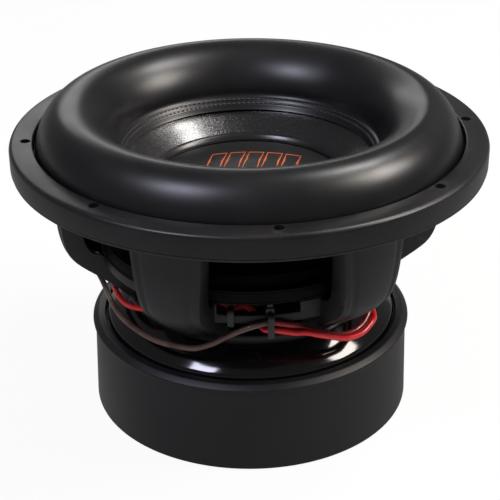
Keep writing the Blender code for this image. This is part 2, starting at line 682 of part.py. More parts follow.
# ---------------------------------------------------------------- the whole driver
def main():
    """Build every sub-part of the subwoofer."""
    global parts, cutters
    clear_scene()
    parts = new_collection("car_subwoofer")
    cutters = new_collection("forms_and_cutters")
    cast = make_material("cast_black_paint", (0.060, 0.059, 0.064), 0.55, 0.2)
    trim = make_material("trim_black", (0.050, 0.049, 0.050), 0.42)
    rubber = make_material("surround_rubber", (0.045, 0.044, 0.046), 0.50)
    boot_rubber = make_material("boot_rubber", (0.050, 0.049, 0.052), 0.60)
    paper = make_material("cone_paper", (0.060, 0.060, 0.062), 0.35)
    cap = make_material("dust_cap_black", (0.035, 0.035, 0.036), 0.45)
    gloss = make_material("ring_gloss_black", (0.040, 0.040, 0.042), 0.22)
    thread = make_material("stitching_thread", (0.070, 0.068, 0.066), 0.80)
    former_black = make_material("former_film", (0.050, 0.045, 0.040), 0.40)
    copper = make_material("copper", (0.600, 0.300, 0.170), 0.35, 1.0)
    cloth = make_material("spider_cloth", (0.035, 0.034, 0.034), 0.90)
    plate = make_material("black_plated_steel", (0.020, 0.020, 0.022), 0.12, 0.6)
    ferrite = make_material("ferrite", (0.090, 0.088, 0.088), 0.70)
    black_plastic = make_material("terminal_plastic", (0.035, 0.035, 0.036), 0.45)
    red_plastic = make_material("button_red", (0.420, 0.030, 0.030), 0.40)
    dark_plastic = make_material("button_black", (0.020, 0.020, 0.020), 0.40)
    tinned = make_material("tinned_brass", (0.680, 0.650, 0.560), 0.35, 1.0)
    steel = make_material("black_screw_steel", (0.080, 0.080, 0.085), 0.35, 0.9)
    mesh_steel = make_material("vent_screen_steel", (0.120, 0.120, 0.125), 0.45, 0.9)
    red_wire = make_material("red_insulation", (0.400, 0.030, 0.035), 0.35)
    brown_wire = make_material("brown_insulation", (0.070, 0.040, 0.028), 0.35)
    nylon = make_material("tie_nylon", (0.035, 0.034, 0.036), 0.40)

    holes = bolt_hole_cutter()
    bolt_holes = bars("frame_bolt_hole_cutter", frame_bolt_runs(0.1050, 0.1310, 0.0034))
    build_trim_ring(trim, holes)
    build_basket(cast, holes, bolt_holes)
    build_surround(rubber)
    build_stitching(thread)
    build_cone(paper)
    build_dust_cap(cap, gloss)
    build_coil(former_black, copper)
    build_suspension(cloth, black_plastic)
    yoke_bottom = build_motor(plate, ferrite, copper, mesh_steel, bolt_holes)
    build_boot(boot_rubber, yoke_bottom)
    build_frame_bolts(steel)
    for side, angle in TERMINAL_ANGLES.items():
        build_terminal(side, angle, black_plastic, red_plastic, dark_plastic, tinned, steel)
        build_tinsel(side, angle, tinned)
    build_wires(red_wire, brown_wire)
    build_tie("cable_tie_front", FRONT_ANGLE + 0.4, 0.0958, 0.1086, 0.0832, 0.0984, nylon)
    build_tie("cable_tie_inner", FRONT_ANGLE - 13.4, 0.0886, 0.1040, 0.0815, 0.0922, nylon)


main()
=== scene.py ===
import logging
import math
from dataclasses import dataclass
from enum import Enum
from functools import cache
from typing import Callable, Sequence

import bmesh
import bpy
from mathutils import Matrix, Quaternion, Vector
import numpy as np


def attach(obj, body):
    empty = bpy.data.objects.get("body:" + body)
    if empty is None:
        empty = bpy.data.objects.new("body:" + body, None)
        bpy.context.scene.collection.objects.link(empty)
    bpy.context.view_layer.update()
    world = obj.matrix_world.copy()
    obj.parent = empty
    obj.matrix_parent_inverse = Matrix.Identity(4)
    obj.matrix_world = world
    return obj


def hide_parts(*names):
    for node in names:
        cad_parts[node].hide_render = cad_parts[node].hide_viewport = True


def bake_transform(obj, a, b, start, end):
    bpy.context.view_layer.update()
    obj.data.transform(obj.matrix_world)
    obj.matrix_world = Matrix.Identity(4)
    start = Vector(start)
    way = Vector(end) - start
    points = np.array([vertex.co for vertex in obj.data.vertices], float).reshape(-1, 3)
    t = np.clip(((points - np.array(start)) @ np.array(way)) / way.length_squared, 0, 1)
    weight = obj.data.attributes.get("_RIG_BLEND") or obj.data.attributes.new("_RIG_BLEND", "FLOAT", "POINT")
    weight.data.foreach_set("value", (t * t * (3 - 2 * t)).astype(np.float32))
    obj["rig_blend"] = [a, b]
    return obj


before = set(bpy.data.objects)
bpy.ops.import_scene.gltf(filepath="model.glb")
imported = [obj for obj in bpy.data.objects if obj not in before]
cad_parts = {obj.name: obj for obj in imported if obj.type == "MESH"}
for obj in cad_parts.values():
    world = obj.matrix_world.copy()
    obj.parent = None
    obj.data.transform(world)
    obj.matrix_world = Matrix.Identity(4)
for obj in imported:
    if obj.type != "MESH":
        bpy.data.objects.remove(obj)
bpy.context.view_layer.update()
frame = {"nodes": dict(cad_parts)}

LOG = logging.getLogger("subwoofer")
FLANGE_TOP = 0.1976
FINE = 192
Outline = Sequence[tuple[float, float]]
Colour = tuple[float, float, float]
Piece = bpy.types.Object
Socket = bpy.types.NodeSocket
Surface = tuple[Socket, Socket, Socket]
TERMINAL_ANGLES = {"right": 30.0, "left": 150.0}
BUTTON_OFFSET = 0.009


# ---------------------------------------------------------------- shapes
def height(depth: float) -> float:
    """World height of a point that lies `depth` metres under the flange's top."""
    return FLANGE_TOP - depth


def polar(radius: float, angle: float, depth: float) -> Vector:
    """Point at a radius, an angle in degrees and a depth under the flange's top."""
    turn = math.radians(angle)
    return Vector((radius * math.cos(turn), radius * math.sin(turn), height(depth)))


def facing(angle: float) -> Matrix:
    """Turn that carries the +Y direction to an angle about the axis."""
    return Matrix.Rotation(math.radians(angle - 90.0), 4, "Z")


def smoothstep(value: float) -> float:
    """Value held between 0 and 1 and eased at both ends."""
    t = min(1.0, max(0.0, value))
    return t * t * (3.0 - 2.0 * t)


def rounded(outline: Outline, radius: float, steps: int = 3) -> list[tuple[float, float]]:
    """Closed outline with its corners softened.

    Args:
        outline: (radius, depth) corners in metres.
        radius: how far along each side a corner starts to turn.
        steps: pieces in each turned corner.

    Returns:
        The softened outline.
    """
    result: list[tuple[float, float]] = []
    count = len(outline)
    for i, corner in enumerate(outline):
        here = Vector(corner)
        back = Vector(outline[i - 1]) - here
        ahead = Vector(outline[(i + 1) % count]) - here
        if corner[0] < 1e-6 or back.angle(ahead) > math.radians(160.0):
            result.append(corner)
            continue
        reach = min(radius, back.length * 0.45, ahead.length * 0.45)
        start = here + back.normalized() * reach
        end = here + ahead.normalized() * reach
        for k in range(steps + 1):
            t = k / steps
            point = start * (1 - t) ** 2 + here * 2 * t * (1 - t) + end * t * t
            result.append((point.x, point.y))
    return result


def ring_section(inside: float, outside: float, top: float, bottom: float) -> list[tuple[float, float]]:
    """Closed outline of a plain ring between two radii and two depths."""
    return [(inside, top), (outside, top), (outside, bottom), (inside, bottom)]


def smooth_line(points: Outline, pieces: int) -> list[tuple[float, float]]:
    """Open line through the points as a Catmull-Rom curve with `pieces` steps a span."""
    line = [Vector(p) for p in points]
    line = [line[0] * 2 - line[1]] + line + [line[-1] * 2 - line[-2]]
    result: list[tuple[float, float]] = []
    for p0, p1, p2, p3 in zip(line, line[1:], line[2:], line[3:]):
        for i in range(pieces):
            t = i / pieces
            point = 0.5 * (2 * p1 + (p2 - p0) * t + (2 * p0 - 5 * p1 + 4 * p2 - p3) * t * t
                           + (3 * p1 - p0 - 3 * p2 + p3) * t ** 3)
            result.append((point.x, point.y))
    result.append((points[-1][0], points[-1][1]))
    return result


def skin(middle: Outline, thickness: float) -> list[tuple[float, float]]:
    """Closed outline of a sheet of even thickness laid along a middle line."""
    upper: list[tuple[float, float]] = []
    lower: list[tuple[float, float]] = []
    for i, (r, d) in enumerate(middle):
        a = Vector(middle[max(0, i - 1)])
        b = Vector(middle[min(len(middle) - 1, i + 1)])
        along = (b - a).normalized()
        side = Vector((-along.y, along.x)) * thickness / 2
        upper.append((r - side.x, d - side.y))
        lower.append((r + side.x, d + side.y))
    return upper + lower[::-1]


def make_object(name: str, vertices: Sequence[Vector], faces: Sequence[Sequence[int]],
                sharp: float = 38.0) -> Piece:
    """Mesh object with its normals outward and its edges sharp above an angle.

    Args:
        name: the piece's name.
        vertices: points in metres.
        faces: vertex numbers of each face.
        sharp: edges that bend more than this many degrees stay crisp.

    Returns:
        The object, linked to the scene.
    """
    mesh = bpy.data.meshes.new(name)
    mesh.from_pydata([tuple(v) for v in vertices], [], [tuple(f) for f in faces])
    work = bmesh.new()
    work.from_mesh(mesh)
    bmesh.ops.recalc_face_normals(work, faces=work.faces[:])
    work.to_mesh(mesh)
    work.free()
    mesh.shade_smooth()
    mesh.set_sharp_from_angle(angle=math.radians(sharp))
    item = bpy.data.objects.new(name, mesh)
    bpy.context.scene.collection.objects.link(item)
    return item


def turned(name: str, outline: Outline, segments: int = FINE, start: float = 0.0,
           sweep: float = 360.0, sharp: float = 38.0) -> Piece:
    """Closed outline of (radius, depth) points turned about the speaker's axis.

    Args:
        name: the piece's name.
        outline: closed outline in metres.
        segments: steps round the turn.
        start: first angle in degrees.
        sweep: how far it turns, in degrees.
        sharp: edges that bend more than this many degrees stay crisp.

    Returns:
        The turned object.
    """
    whole = sweep >= 359.9
    stations = segments if whole else segments + 1
    vertices: list[Vector] = []
    rows: list[list[int]] = []
    for r, d in outline:
        if r < 1e-6:
            vertices.append(Vector((0.0, 0.0, height(d))))
            rows.append([len(vertices) - 1] * stations)
            continue
        first = len(vertices)
        vertices.extend(polar(r, start + sweep * k / segments, d) for k in range(stations))
        rows.append(list(range(first, first + stations)))
    faces: list[list[int]] = []
    for i in range(len(rows)):
        one, two = rows[i], rows[(i + 1) % len(rows)]
        for k in range(segments):
            n = (k + 1) % stations
            corners: list[int] = []
            for v in (one[k], one[n], two[n], two[k]):
                if v not in corners:
                    corners.append(v)
            if len(corners) > 2:
                faces.append(corners)
    if not whole:
        faces.append([row[0] for row in rows])
        faces.append([row[-1] for row in reversed(rows)])
    return make_object(name, vertices, faces, sharp)


def lofted(name: str, sections: Sequence[Sequence[Vector]], looped: bool = False,
           sharp: float = 38.0) -> Piece:
    """Closed skin through matching sections, capped at both ends unless it loops."""
    size = len(sections[0])
    vertices = [p for section in sections for p in section]
    faces: list[list[int]] = []
    spans = len(sections) if looped else len(sections) - 1
    for s in range(spans):
        a, b = s * size, ((s + 1) % len(sections)) * size
        for k in range(size):
            n = (k + 1) % size
            faces.append([a + k, a + n, b + n, b + k])
    if not looped:
        faces.append(list(range(size)))
        faces.append(list(range(len(vertices) - size, len(vertices)))[::-1])
    return make_object(name, vertices, faces, sharp)


def smooth_route(points: Sequence[Vector], spacing: float) -> list[Vector]:
    """Catmull-Rom curve through the points, read at an even spacing in metres."""
    line = [points[0] * 2 - points[1]] + list(points) + [points[-1] * 2 - points[-2]]
    fine: list[Vector] = []
    for p0, p1, p2, p3 in zip(line, line[1:], line[2:], line[3:]):
        for i in range(20):
            t = i / 20
            fine.append(0.5 * (2 * p1 + (p2 - p0) * t + (2 * p0 - 5 * p1 + 4 * p2 - p3) * t * t
                               + (3 * p1 - p0 - 3 * p2 + p3) * t ** 3))
    fine.append(points[-1])
    total = sum((b - a).length for a, b in zip(fine, fine[1:]))
    count = max(2, round(total / spacing))
    result, walked, target = [fine[0]], 0.0, total / count
    for a, b in zip(fine, fine[1:]):
        step = (b - a).length
        while walked + step >= target - 1e-9 and len(result) < count:
            result.append(a.lerp(b, (target - walked) / step))
            target += total / count
        walked += step
    result.append(fine[-1])
    return result


def tube(name: str, route: Sequence[Vector], radius: Callable[[float], float],
         spacing: float = 0.0020, sides: int = 14) -> Piece:
    """Round rod along a smooth route.

    Args:
        name: the piece's name.
        route: the points it runs through, in metres.
        radius: radius at a share of the length from 0 to 1.
        spacing: distance between its rings.
        sides: corners of each ring.

    Returns:
        The rod.
    """
    points = smooth_route(route, spacing)
    along = (points[1] - points[0]).normalized()
    side = along.orthogonal().normalized()
    sections: list[list[Vector]] = []
    for i, point in enumerate(points):
        ahead = (points[min(i + 1, len(points) - 1)] - points[max(i - 1, 0)]).normalized()
        side = (along.rotation_difference(ahead) @ side).normalized()
        along = ahead
        up = along.cross(side)
        r = radius(i / (len(points) - 1))
        ring = [point + (side * math.cos(a) + up * math.sin(a)) * r
                for a in (2 * math.pi * k / sides for k in range(sides))]
        sections.append(ring)
    return lofted(name, sections, sharp=50.0)


def soft_block(name: str, size: Colour, place: Matrix, bevel: float, steps: int = 3) -> Piece:
    """Block with rounded edges.

    Args:
        name: the piece's name.
        size: its three sides in metres.
        place: where its middle goes.
        bevel: radius of its edges.
        steps: pieces in each rounded edge.

    Returns:
        The block.
    """
    work = bmesh.new()
    bmesh.ops.create_cube(work, size=1.0)
    bmesh.ops.scale(work, vec=size, verts=work.verts)
    bmesh.ops.bevel(work, geom=work.edges[:], offset=bevel, segments=steps, affect="EDGES", profile=0.5)
    bmesh.ops.transform(work, matrix=place, verts=work.verts)
    work.verts.ensure_lookup_table()
    work.verts.index_update()
    vertices = [v.co.copy() for v in work.verts]
    faces = [[v.index for v in f.verts] for f in work.faces]
    work.free()
    return make_object(name, vertices, faces, 50.0)


def socket_screw(name: str, head: tuple[float, float], shank: tuple[float, float], socket: float,
                 place: Matrix) -> Piece:
    """Cap screw with a hexagon socket, its head up along +Z from its origin.

    Args:
        name: the piece's name.
        head: the head's radius and height.
        shank: the shank's radius and length.
        socket: half the width across the socket's corners.
        place: where the underside of the head goes.

    Returns:
        The screw.
    """
    count = 36
    rings: list[tuple[float, float, bool]] = [
        (shank[0] * 0.8, -shank[1], False), (shank[0], -shank[1] + 0.0004, False), (shank[0], 0.0, False),
        (head[0] * 0.97, 0.0, False), (head[0], head[1] * 0.06, False), (head[0], head[1] * 0.86, False),
        (head[0] * 0.97, head[1] * 0.95, False), (head[0] * 0.90, head[1], False),
        (socket * 1.15, head[1], False), (socket, head[1] * 0.96, True), (socket, head[1] * 0.45, True),
        (socket * 0.35, head[1] * 0.36, False),
    ]
    sections: list[list[Vector]] = []
    for radius, level, is_hexagon in rings:
        section: list[Vector] = []
        for k in range(count):
            turn = 2 * math.pi * k / count
            reach = radius
            if is_hexagon:
                reach *= math.cos(math.pi / 6) / math.cos((turn + math.pi / 6) % (math.pi / 3) - math.pi / 6)
            section.append(place @ Vector((reach * math.cos(turn), reach * math.sin(turn), level)))
        sections.append(section)
    return lofted(name, sections, sharp=35.0)


def cut(item: Piece, cutter: Piece) -> None:
    """Take the cutter's solid out of the item and remove the cutter."""
    modifier = item.modifiers.new("cut", "BOOLEAN")
    modifier.operation = "DIFFERENCE"
    modifier.solver = "EXACT"
    modifier.object = cutter
    apply_modifiers(item)
    bpy.data.objects.remove(cutter)


def apply_modifiers(item: Piece) -> None:
    """Turn an object's modifiers into mesh and set its crisp edges again."""
    bpy.context.view_layer.update()
    shape = item.evaluated_get(bpy.context.evaluated_depsgraph_get())
    mesh = bpy.data.meshes.new_from_object(shape)
    item.modifiers.clear()
    item.data = mesh
    mesh.shade_smooth()
    mesh.set_sharp_from_angle(angle=math.radians(38.0))


def soften(item: Piece, width: float, segments: int = 2, angle: float = 35.0) -> None:
    """Round the edges of a piece that bend more than an angle."""
    bevel = item.modifiers.new("soften", "BEVEL")
    bevel.width = width
    bevel.segments = segments
    bevel.limit_method = "ANGLE"
    bevel.angle_limit = math.radians(angle)
    bevel.harden_normals = False
    apply_modifiers(item)


def joined(name: str, items: Sequence[Piece]) -> Piece:
    """One object made of several pieces of the same part."""
    work = bmesh.new()
    for item in items:
        work.from_mesh(item.data)
    mesh = bpy.data.meshes.new(name)
    work.to_mesh(mesh)
    work.free()
    mesh.shade_smooth()
    mesh.set_sharp_from_angle(angle=math.radians(38.0))
    for item in items:
        bpy.data.objects.remove(item)
    result = bpy.data.objects.new(name, mesh)
    bpy.context.scene.collection.objects.link(result)
    return result


# ---------------------------------------------------------------- shader groups
class Link:
    """Short hand for laying nodes in a tree."""

    def __init__(self, tree: bpy.types.NodeTree) -> None:
        """Keep the tree that the nodes go in."""
        self.tree = tree

    def put(self, socket: Socket, value: object) -> None:
        """Link an input to a socket, or give it a number or a colour of its own."""
        if isinstance(value, Socket):
            self.tree.links.new(value, socket)
        elif hasattr(socket.default_value, "__len__") and len(socket.default_value) == 4:
            socket.default_value = (*value, 1.0)
        else:
            socket.default_value = value

    def node(self, kind: str, **inputs: object) -> bpy.types.Node:
        """Add a node and set its inputs; a socket given as an input is linked.

        Args:
            kind: the node's type without its "ShaderNode" start.
            inputs: input names, with "_" for a space, or attributes of the node.

        Returns:
            The node.
        """
        item = self.tree.nodes.new("ShaderNode" + kind)
        for name, value in inputs.items():
            label = name.replace("_", " ")
            if hasattr(item, name):
                setattr(item, name, value)
            elif name[0] == "i" and name[1:].isdigit():
                self.put(item.inputs[int(name[1:])], value)
            else:
                self.put(item.inputs[label], value)
        return item

    def math(self, operation: str, *values: object) -> Socket:
        """Add a Math node over values or sockets and give its output."""
        item = self.tree.nodes.new("ShaderNodeMath")
        item.operation = operation
        for socket, value in zip(item.inputs, values):
            self.put(socket, value)
        return item.outputs[0]

    def ramp(self, value: Socket, low: float, high: float) -> Socket:
        """Stretch a value so that low gives 0 and high gives 1."""
        item = self.node("MapRange", i0=value, i1=low, i2=high, i3=0.0, i4=1.0)
        item.clamp = True
        return item.outputs[0]

    def mix(self, mask: object, one: object, two: object) -> Socket:
        """Mix two colours by a mask and give the colour."""
        item = self.tree.nodes.new("ShaderNodeMix")
        item.data_type = "RGBA"
        for index, value in ((0, mask), (6, one), (7, two)):
            self.put(item.inputs[index], value)
        return item.outputs[2]


def new_group(name: str, inputs: Sequence[tuple[str, str, object]],
              outputs: Sequence[tuple[str, str]]) -> tuple[Link, bpy.types.Node, bpy.types.Node]:
    """Empty node group with named sockets.

    Args:
        name: the group's name.
        inputs: name, kind ("Float" or "Color") and start value of each input.
        outputs: name and kind of each output.

    Returns:
        The group's link helper, its input node and its output node.
    """
    group = bpy.data.node_groups.new(name, "ShaderNodeTree")
    for label, kind, value in inputs:
        socket = group.interface.new_socket(name=label, in_out="INPUT", socket_type="NodeSocket" + kind)
        socket.default_value = (*value, 1.0) if kind == "Color" else value
    for label, kind in outputs:
        group.interface.new_socket(name=label, in_out="OUTPUT", socket_type="NodeSocket" + kind)
    start = group.nodes.new("NodeGroupInput")
    end = group.nodes.new("NodeGroupOutput")
    return Link(group), start, end


class Effects:
    """Shader effects that several finishes share, each built once."""

    @staticmethod
    @cache
    def grain() -> bpy.types.NodeTree:
        """Fine grain with slow cloudy change: outputs Grain and Clouds, from 0 to 1."""
        link, start, end = new_group(
            "surface grain",
            [("Grain Scale", "Float", 1500.0), ("Cloud Scale", "Float", 25.0), ("Stretch", "Float", 1.0)],
            [("Grain", "Float"), ("Clouds", "Float")])
        place = link.node("TexCoord").outputs["Object"]
        squeeze = link.node("CombineXYZ", X=1.0, Y=1.0, Z=start.outputs["Stretch"])
        spread = link.node("VectorMath", operation="MULTIPLY", i0=place, i1=squeeze.outputs[0])
        fine = link.node("TexNoise", Vector=spread.outputs[0], Scale=start.outputs["Grain Scale"],
                         Detail=3.0, Roughness=0.6)
        slow = link.node("TexNoise", Vector=place, Scale=start.outputs["Cloud Scale"],
                         Detail=4.0, Roughness=0.55)
        link.put(end.inputs["Grain"], link.ramp(fine.outputs["Fac"], 0.32, 0.68))
        link.put(end.inputs["Clouds"], link.ramp(slow.outputs["Fac"], 0.36, 0.66))
        return link.tree

    @staticmethod
    @cache
    def wear() -> bpy.types.NodeTree:
        """Rubbed edges and settled dust: inputs Colour, Edge, Dust and their amounts, output Colour."""
        link, start, end = new_group(
            "edge wear and dust",
            [("Colour", "Color", (0.1, 0.1, 0.1)), ("Edge Colour", "Color", (0.2, 0.2, 0.2)),
             ("Edge Amount", "Float", 0.3), ("Dust Colour", "Color", (0.2, 0.19, 0.18)),
             ("Dust Amount", "Float", 0.1)],
            [("Colour", "Color"), ("Dust", "Float")])
        shape = link.node("NewGeometry")
        place = link.node("TexCoord").outputs["Object"]
        patch = link.node("TexNoise", Vector=place, Scale=140.0, Detail=5.0, Roughness=0.65)
        edge = link.ramp(shape.outputs["Pointiness"], 0.52, 0.58)
        broken = link.math("MULTIPLY", edge, link.ramp(patch.outputs["Fac"], 0.40, 0.62))
        rubbed = link.mix(link.math("MULTIPLY", broken, start.outputs["Edge Amount"]),
                          start.outputs["Colour"], start.outputs["Edge Colour"])
        up = link.node("SeparateXYZ", Vector=shape.outputs["Normal"]).outputs["Z"]
        specks = link.node("TexNoise", Vector=place, Scale=900.0, Detail=2.0, Roughness=0.5)
        lying = link.math("MULTIPLY", link.ramp(up, 0.35, 1.0), link.ramp(specks.outputs["Fac"], 0.50, 0.75))
        dust = link.math("MULTIPLY", lying, start.outputs["Dust Amount"])
        link.put(end.inputs["Colour"], link.mix(dust, rubbed, start.outputs["Dust Colour"]))
        link.put(end.inputs["Dust"], dust)
        return link.tree

    @staticmethod
    @cache
    def weave() -> bpy.types.NodeTree:
        """Plain weave of crossing threads: input Threads for each metre, outputs Height and Gaps."""
        link, start, end = new_group("woven cloth", [("Threads", "Float", 900.0)],
                                     [("Height", "Float"), ("Gaps", "Float")])
        place = link.node("SeparateXYZ", Vector=link.node("TexCoord").outputs["Object"])
        pitch = link.math("MULTIPLY", start.outputs["Threads"], math.pi)
        across = link.math("SINE", link.math("MULTIPLY", place.outputs["X"], pitch))
        along = link.math("SINE", link.math("MULTIPLY", place.outputs["Y"], pitch))
        product = link.math("MULTIPLY", across, along)
        level = link.math("ADD", link.math("MULTIPLY", product, 0.5), 0.5)
        open_ = link.ramp(link.math("MULTIPLY", link.math("ABSOLUTE", across), link.math("ABSOLUTE", along)),
                          0.35, 0.05)
        link.put(end.inputs["Height"], level)
        link.put(end.inputs["Gaps"], open_)
        return link.tree


# ---------------------------------------------------------------- finishes
@dataclass(frozen=True)
class Finish:
    """One surface finish: its colours, gloss, grain and wear.

    The colours are linear; bump is in millimetres and the scales are cells for each metre.
    """

    name: str
    colour: Colour
    cloud_colour: Colour
    gloss_low: float
    gloss_high: float
    grain_scale: float = 1500.0
    cloud_scale: float = 25.0
    stretch: float = 1.0
    bump: float = 0.02
    metallic: float = 0.0
    specular: float = 0.5
    coat: float = 0.0
    coat_gloss: float = 0.1
    sheen: float = 0.0
    edge_colour: Colour = (0.12, 0.12, 0.12)
    edge: float = 0.0
    dust: float = 0.0

    def material(self) -> bpy.types.Material:
        """Give the material, made at the first call."""
        known = bpy.data.materials.get(self.name)
        if known is not None:
            return known
        made = bpy.data.materials.new(self.name)
        made.use_nodes = True
        made.node_tree.nodes.clear()
        link = Link(made.node_tree)
        shader = link.node("BsdfPrincipled")
        shader.inputs["Metallic"].default_value = self.metallic
        shader.inputs["Specular IOR Level"].default_value = self.specular
        shader.inputs["Coat Weight"].default_value = self.coat
        shader.inputs["Coat Roughness"].default_value = self.coat_gloss
        shader.inputs["Sheen Weight"].default_value = self.sheen
        grain = self.placed(link, Effects.grain(), {
            "Grain Scale": self.grain_scale, "Cloud Scale": self.cloud_scale, "Stretch": self.stretch})
        colour, level, gloss = self.surface(link, grain)
        worn = self.placed(link, Effects.wear(), {
            "Colour": colour, "Edge Colour": self.edge_colour, "Edge Amount": self.edge, "Dust Amount": self.dust})
        link.put(shader.inputs["Base Color"], worn.outputs["Colour"])
        rough = link.node("MapRange", i0=gloss, i1=0.0, i2=1.0, i3=self.gloss_low, i4=self.gloss_high)
        dusty = link.math("ADD", rough.outputs[0], link.math("MULTIPLY", worn.outputs["Dust"], 0.4))
        link.put(shader.inputs["Roughness"], dusty)
        bump = link.node("Bump", Strength=1.0, Distance=self.bump * 0.001, Height=level)
        link.put(shader.inputs["Normal"], bump.outputs["Normal"])
        out = link.node("OutputMaterial")
        link.put(out.inputs["Surface"], shader.outputs[0])
        return made

    def placed(self, link: Link, tree: bpy.types.NodeTree, values: dict[str, object]) -> bpy.types.Node:
        """Place a shared effect in the material with its own values.

        Args:
            link: the material's link helper.
            tree: the effect.
            values: a number, colour or socket for each named input.

        Returns:
            The group node.
        """
        item = link.tree.nodes.new("ShaderNodeGroup")
        item.node_tree = tree
        for label, value in values.items():
            link.put(item.inputs[label], value)
        return item

    def surface(self, link: Link, grain: bpy.types.Node) -> Surface:
        """Give the colour, the bump level and the gloss mask of the plain finish."""
        colour = link.mix(grain.outputs["Clouds"], self.colour, self.cloud_colour)
        return colour, grain.outputs["Grain"], grain.outputs["Clouds"]


@dataclass(frozen=True)
class BrownToShadedRedSleeve(Finish):
    """Wire sleeve that is brown and, beyond a point along X, a red darkened as painted shade, where a tie covers the
    change.
    """

    painted_shade_red: Colour = (0.0, 0.0, 0.0)
    change_from: float = -0.0010
    change_to: float = 0.0020

    def surface(self, link: Link, grain: bpy.types.Node) -> Surface:
        """Give the colour, the bump level and the gloss mask of the sleeve."""
        near, level, gloss = super().surface(link, grain)
        place = link.node("SeparateXYZ", Vector=link.node("TexCoord").outputs["Object"])
        # Past the change the sleeve takes a red strand's colour darkened as painted shade.
        beyond = link.ramp(place.outputs["X"], self.change_from, self.change_to)
        return link.mix(beyond, near, self.painted_shade_red), level, gloss


@dataclass(frozen=True)
class PressedPaper(Finish):
    """Coated paper pulp: short fibres and pits under a thin shiny coat."""

    def surface(self, link: Link, grain: bpy.types.Node) -> Surface:
        """Give the colour, the bump level and the gloss mask of the paper."""
        place = link.node("TexCoord").outputs["Object"]
        pits = link.node("TexVoronoi", Vector=place, Scale=self.grain_scale * 0.45, Randomness=1.0)
        pits.feature = "SMOOTH_F1"
        pulp = link.node("TexNoise", Vector=place, Scale=self.grain_scale * 0.5, Detail=6.0, Roughness=0.7,
                         Distortion=1.2)
        level = link.math("ADD", link.math("MULTIPLY", pulp.outputs["Fac"], 1.1),
                          link.math("MULTIPLY", pits.outputs["Distance"], 0.5))
        colour = link.mix(link.ramp(level, 0.55, 1.05), self.colour, self.cloud_colour)
        return colour, level, grain.outputs["Grain"]


@dataclass(frozen=True)
class Cloth(Finish):
    """Woven cloth stiffened with resin."""

    threads: float = 700.0

    def surface(self, link: Link, grain: bpy.types.Node) -> Surface:
        """Give the colour, the bump level and the gloss mask of the cloth."""
        weave = self.placed(link, Effects.weave(), {"Threads": self.threads})
        colour = link.mix(weave.outputs["Gaps"], self.cloud_colour, self.colour)
        return colour, weave.outputs["Height"], grain.outputs["Grain"]


@dataclass(frozen=True)
class TurnedMetal(Finish):
    """Metal with the fine rings that a lathe leaves."""

    ring_pitch: float = 0.0004

    def surface(self, link: Link, grain: bpy.types.Node) -> Surface:
        """Give the colour, the bump level and the gloss mask of the turned metal."""
        place = link.node("SeparateXYZ", Vector=link.node("TexCoord").outputs["Object"])
        square = link.math("ADD", link.math("POWER", place.outputs["X"], 2.0),
                           link.math("POWER", place.outputs["Y"], 2.0))
        radius = link.math("ADD", link.math("SQRT", square), link.math("MULTIPLY", place.outputs["Z"], 0.7))
        rings = link.math("SINE", link.math("MULTIPLY", radius, 2 * math.pi / self.ring_pitch))
        level = link.math("ADD", link.math("MULTIPLY", rings, 0.5), link.math("MULTIPLY", grain.outputs["Grain"], 0.6))
        colour = link.mix(grain.outputs["Clouds"], self.colour, self.cloud_colour)
        return colour, level, grain.outputs["Clouds"]


@dataclass(frozen=True)
class Perforated(Finish):
    """Thin sheet with rows of punched holes."""

    pitch: float = 0.0022

    def surface(self, link: Link, grain: bpy.types.Node) -> Surface:
        """Give the colour, the bump level and the gloss mask of the sheet."""
        place = link.node("SeparateXYZ", Vector=link.node("TexCoord").outputs["Object"])
        waves = [link.math("COSINE", link.math("MULTIPLY", place.outputs[axis], 2 * math.pi / self.pitch))
                 for axis in ("X", "Y")]
        hole = link.ramp(link.math("ADD", waves[0], waves[1]), 0.5, 0.8)
        solid = link.math("SUBTRACT", 1.0, hole)
        colour = link.mix(solid, (0.001, 0.001, 0.001), self.colour)
        return colour, solid, grain.outputs["Grain"]


ROLL_RUBBER = Finish("roll rubber", (0.005, 0.005, 0.006), (0.008, 0.0075, 0.008), 0.30, 0.37, 2600.0, 18.0,
                     bump=0.006, specular=0.42, dust=0.02)
BOOT_RUBBER = Finish("boot rubber", (0.006, 0.006, 0.007), (0.009, 0.009, 0.010), 0.42, 0.50, 2200.0, 14.0,
                     bump=0.010, specular=0.36, edge_colour=(0.03, 0.03, 0.035), edge=0.25, dust=0.02)
TRIM_PAINT = Finish("satin trim paint", (0.007, 0.0065, 0.007), (0.011, 0.010, 0.0105), 0.34, 0.42, 2400.0, 22.0,
                    bump=0.010, specular=0.40, edge_colour=(0.05, 0.05, 0.05), edge=0.35, dust=0.04)
CAST_PAINT = Finish("textured casting paint", (0.009, 0.0085, 0.0095), (0.014, 0.013, 0.014), 0.40, 0.52, 950.0,
                    30.0, bump=0.075, specular=0.44, edge_colour=(0.05, 0.05, 0.05), edge=0.35, dust=0.04)
CONE_PAPER = PressedPaper("coated cone paper", (0.006, 0.006, 0.007), (0.012, 0.011, 0.011), 0.20, 0.30, 900.0,
                          30.0, bump=0.16, specular=0.5, coat=0.5, coat_gloss=0.18)
CAP_PAPER = PressedPaper("dust cap paper", (0.008, 0.008, 0.008), (0.014, 0.0135, 0.0135), 0.42, 0.54, 1300.0,
                         26.0, bump=0.05, specular=0.38, dust=0.03)
CAP_RING = Finish("gloss cap ring", (0.008, 0.008, 0.009), (0.012, 0.012, 0.012), 0.22, 0.30, 2000.0, 20.0,
                  bump=0.004)
THREAD = Finish("black thread", (0.030, 0.030, 0.032), (0.055, 0.053, 0.055), 0.55, 0.70, 3500.0, 60.0, bump=0.05,
                sheen=0.2)
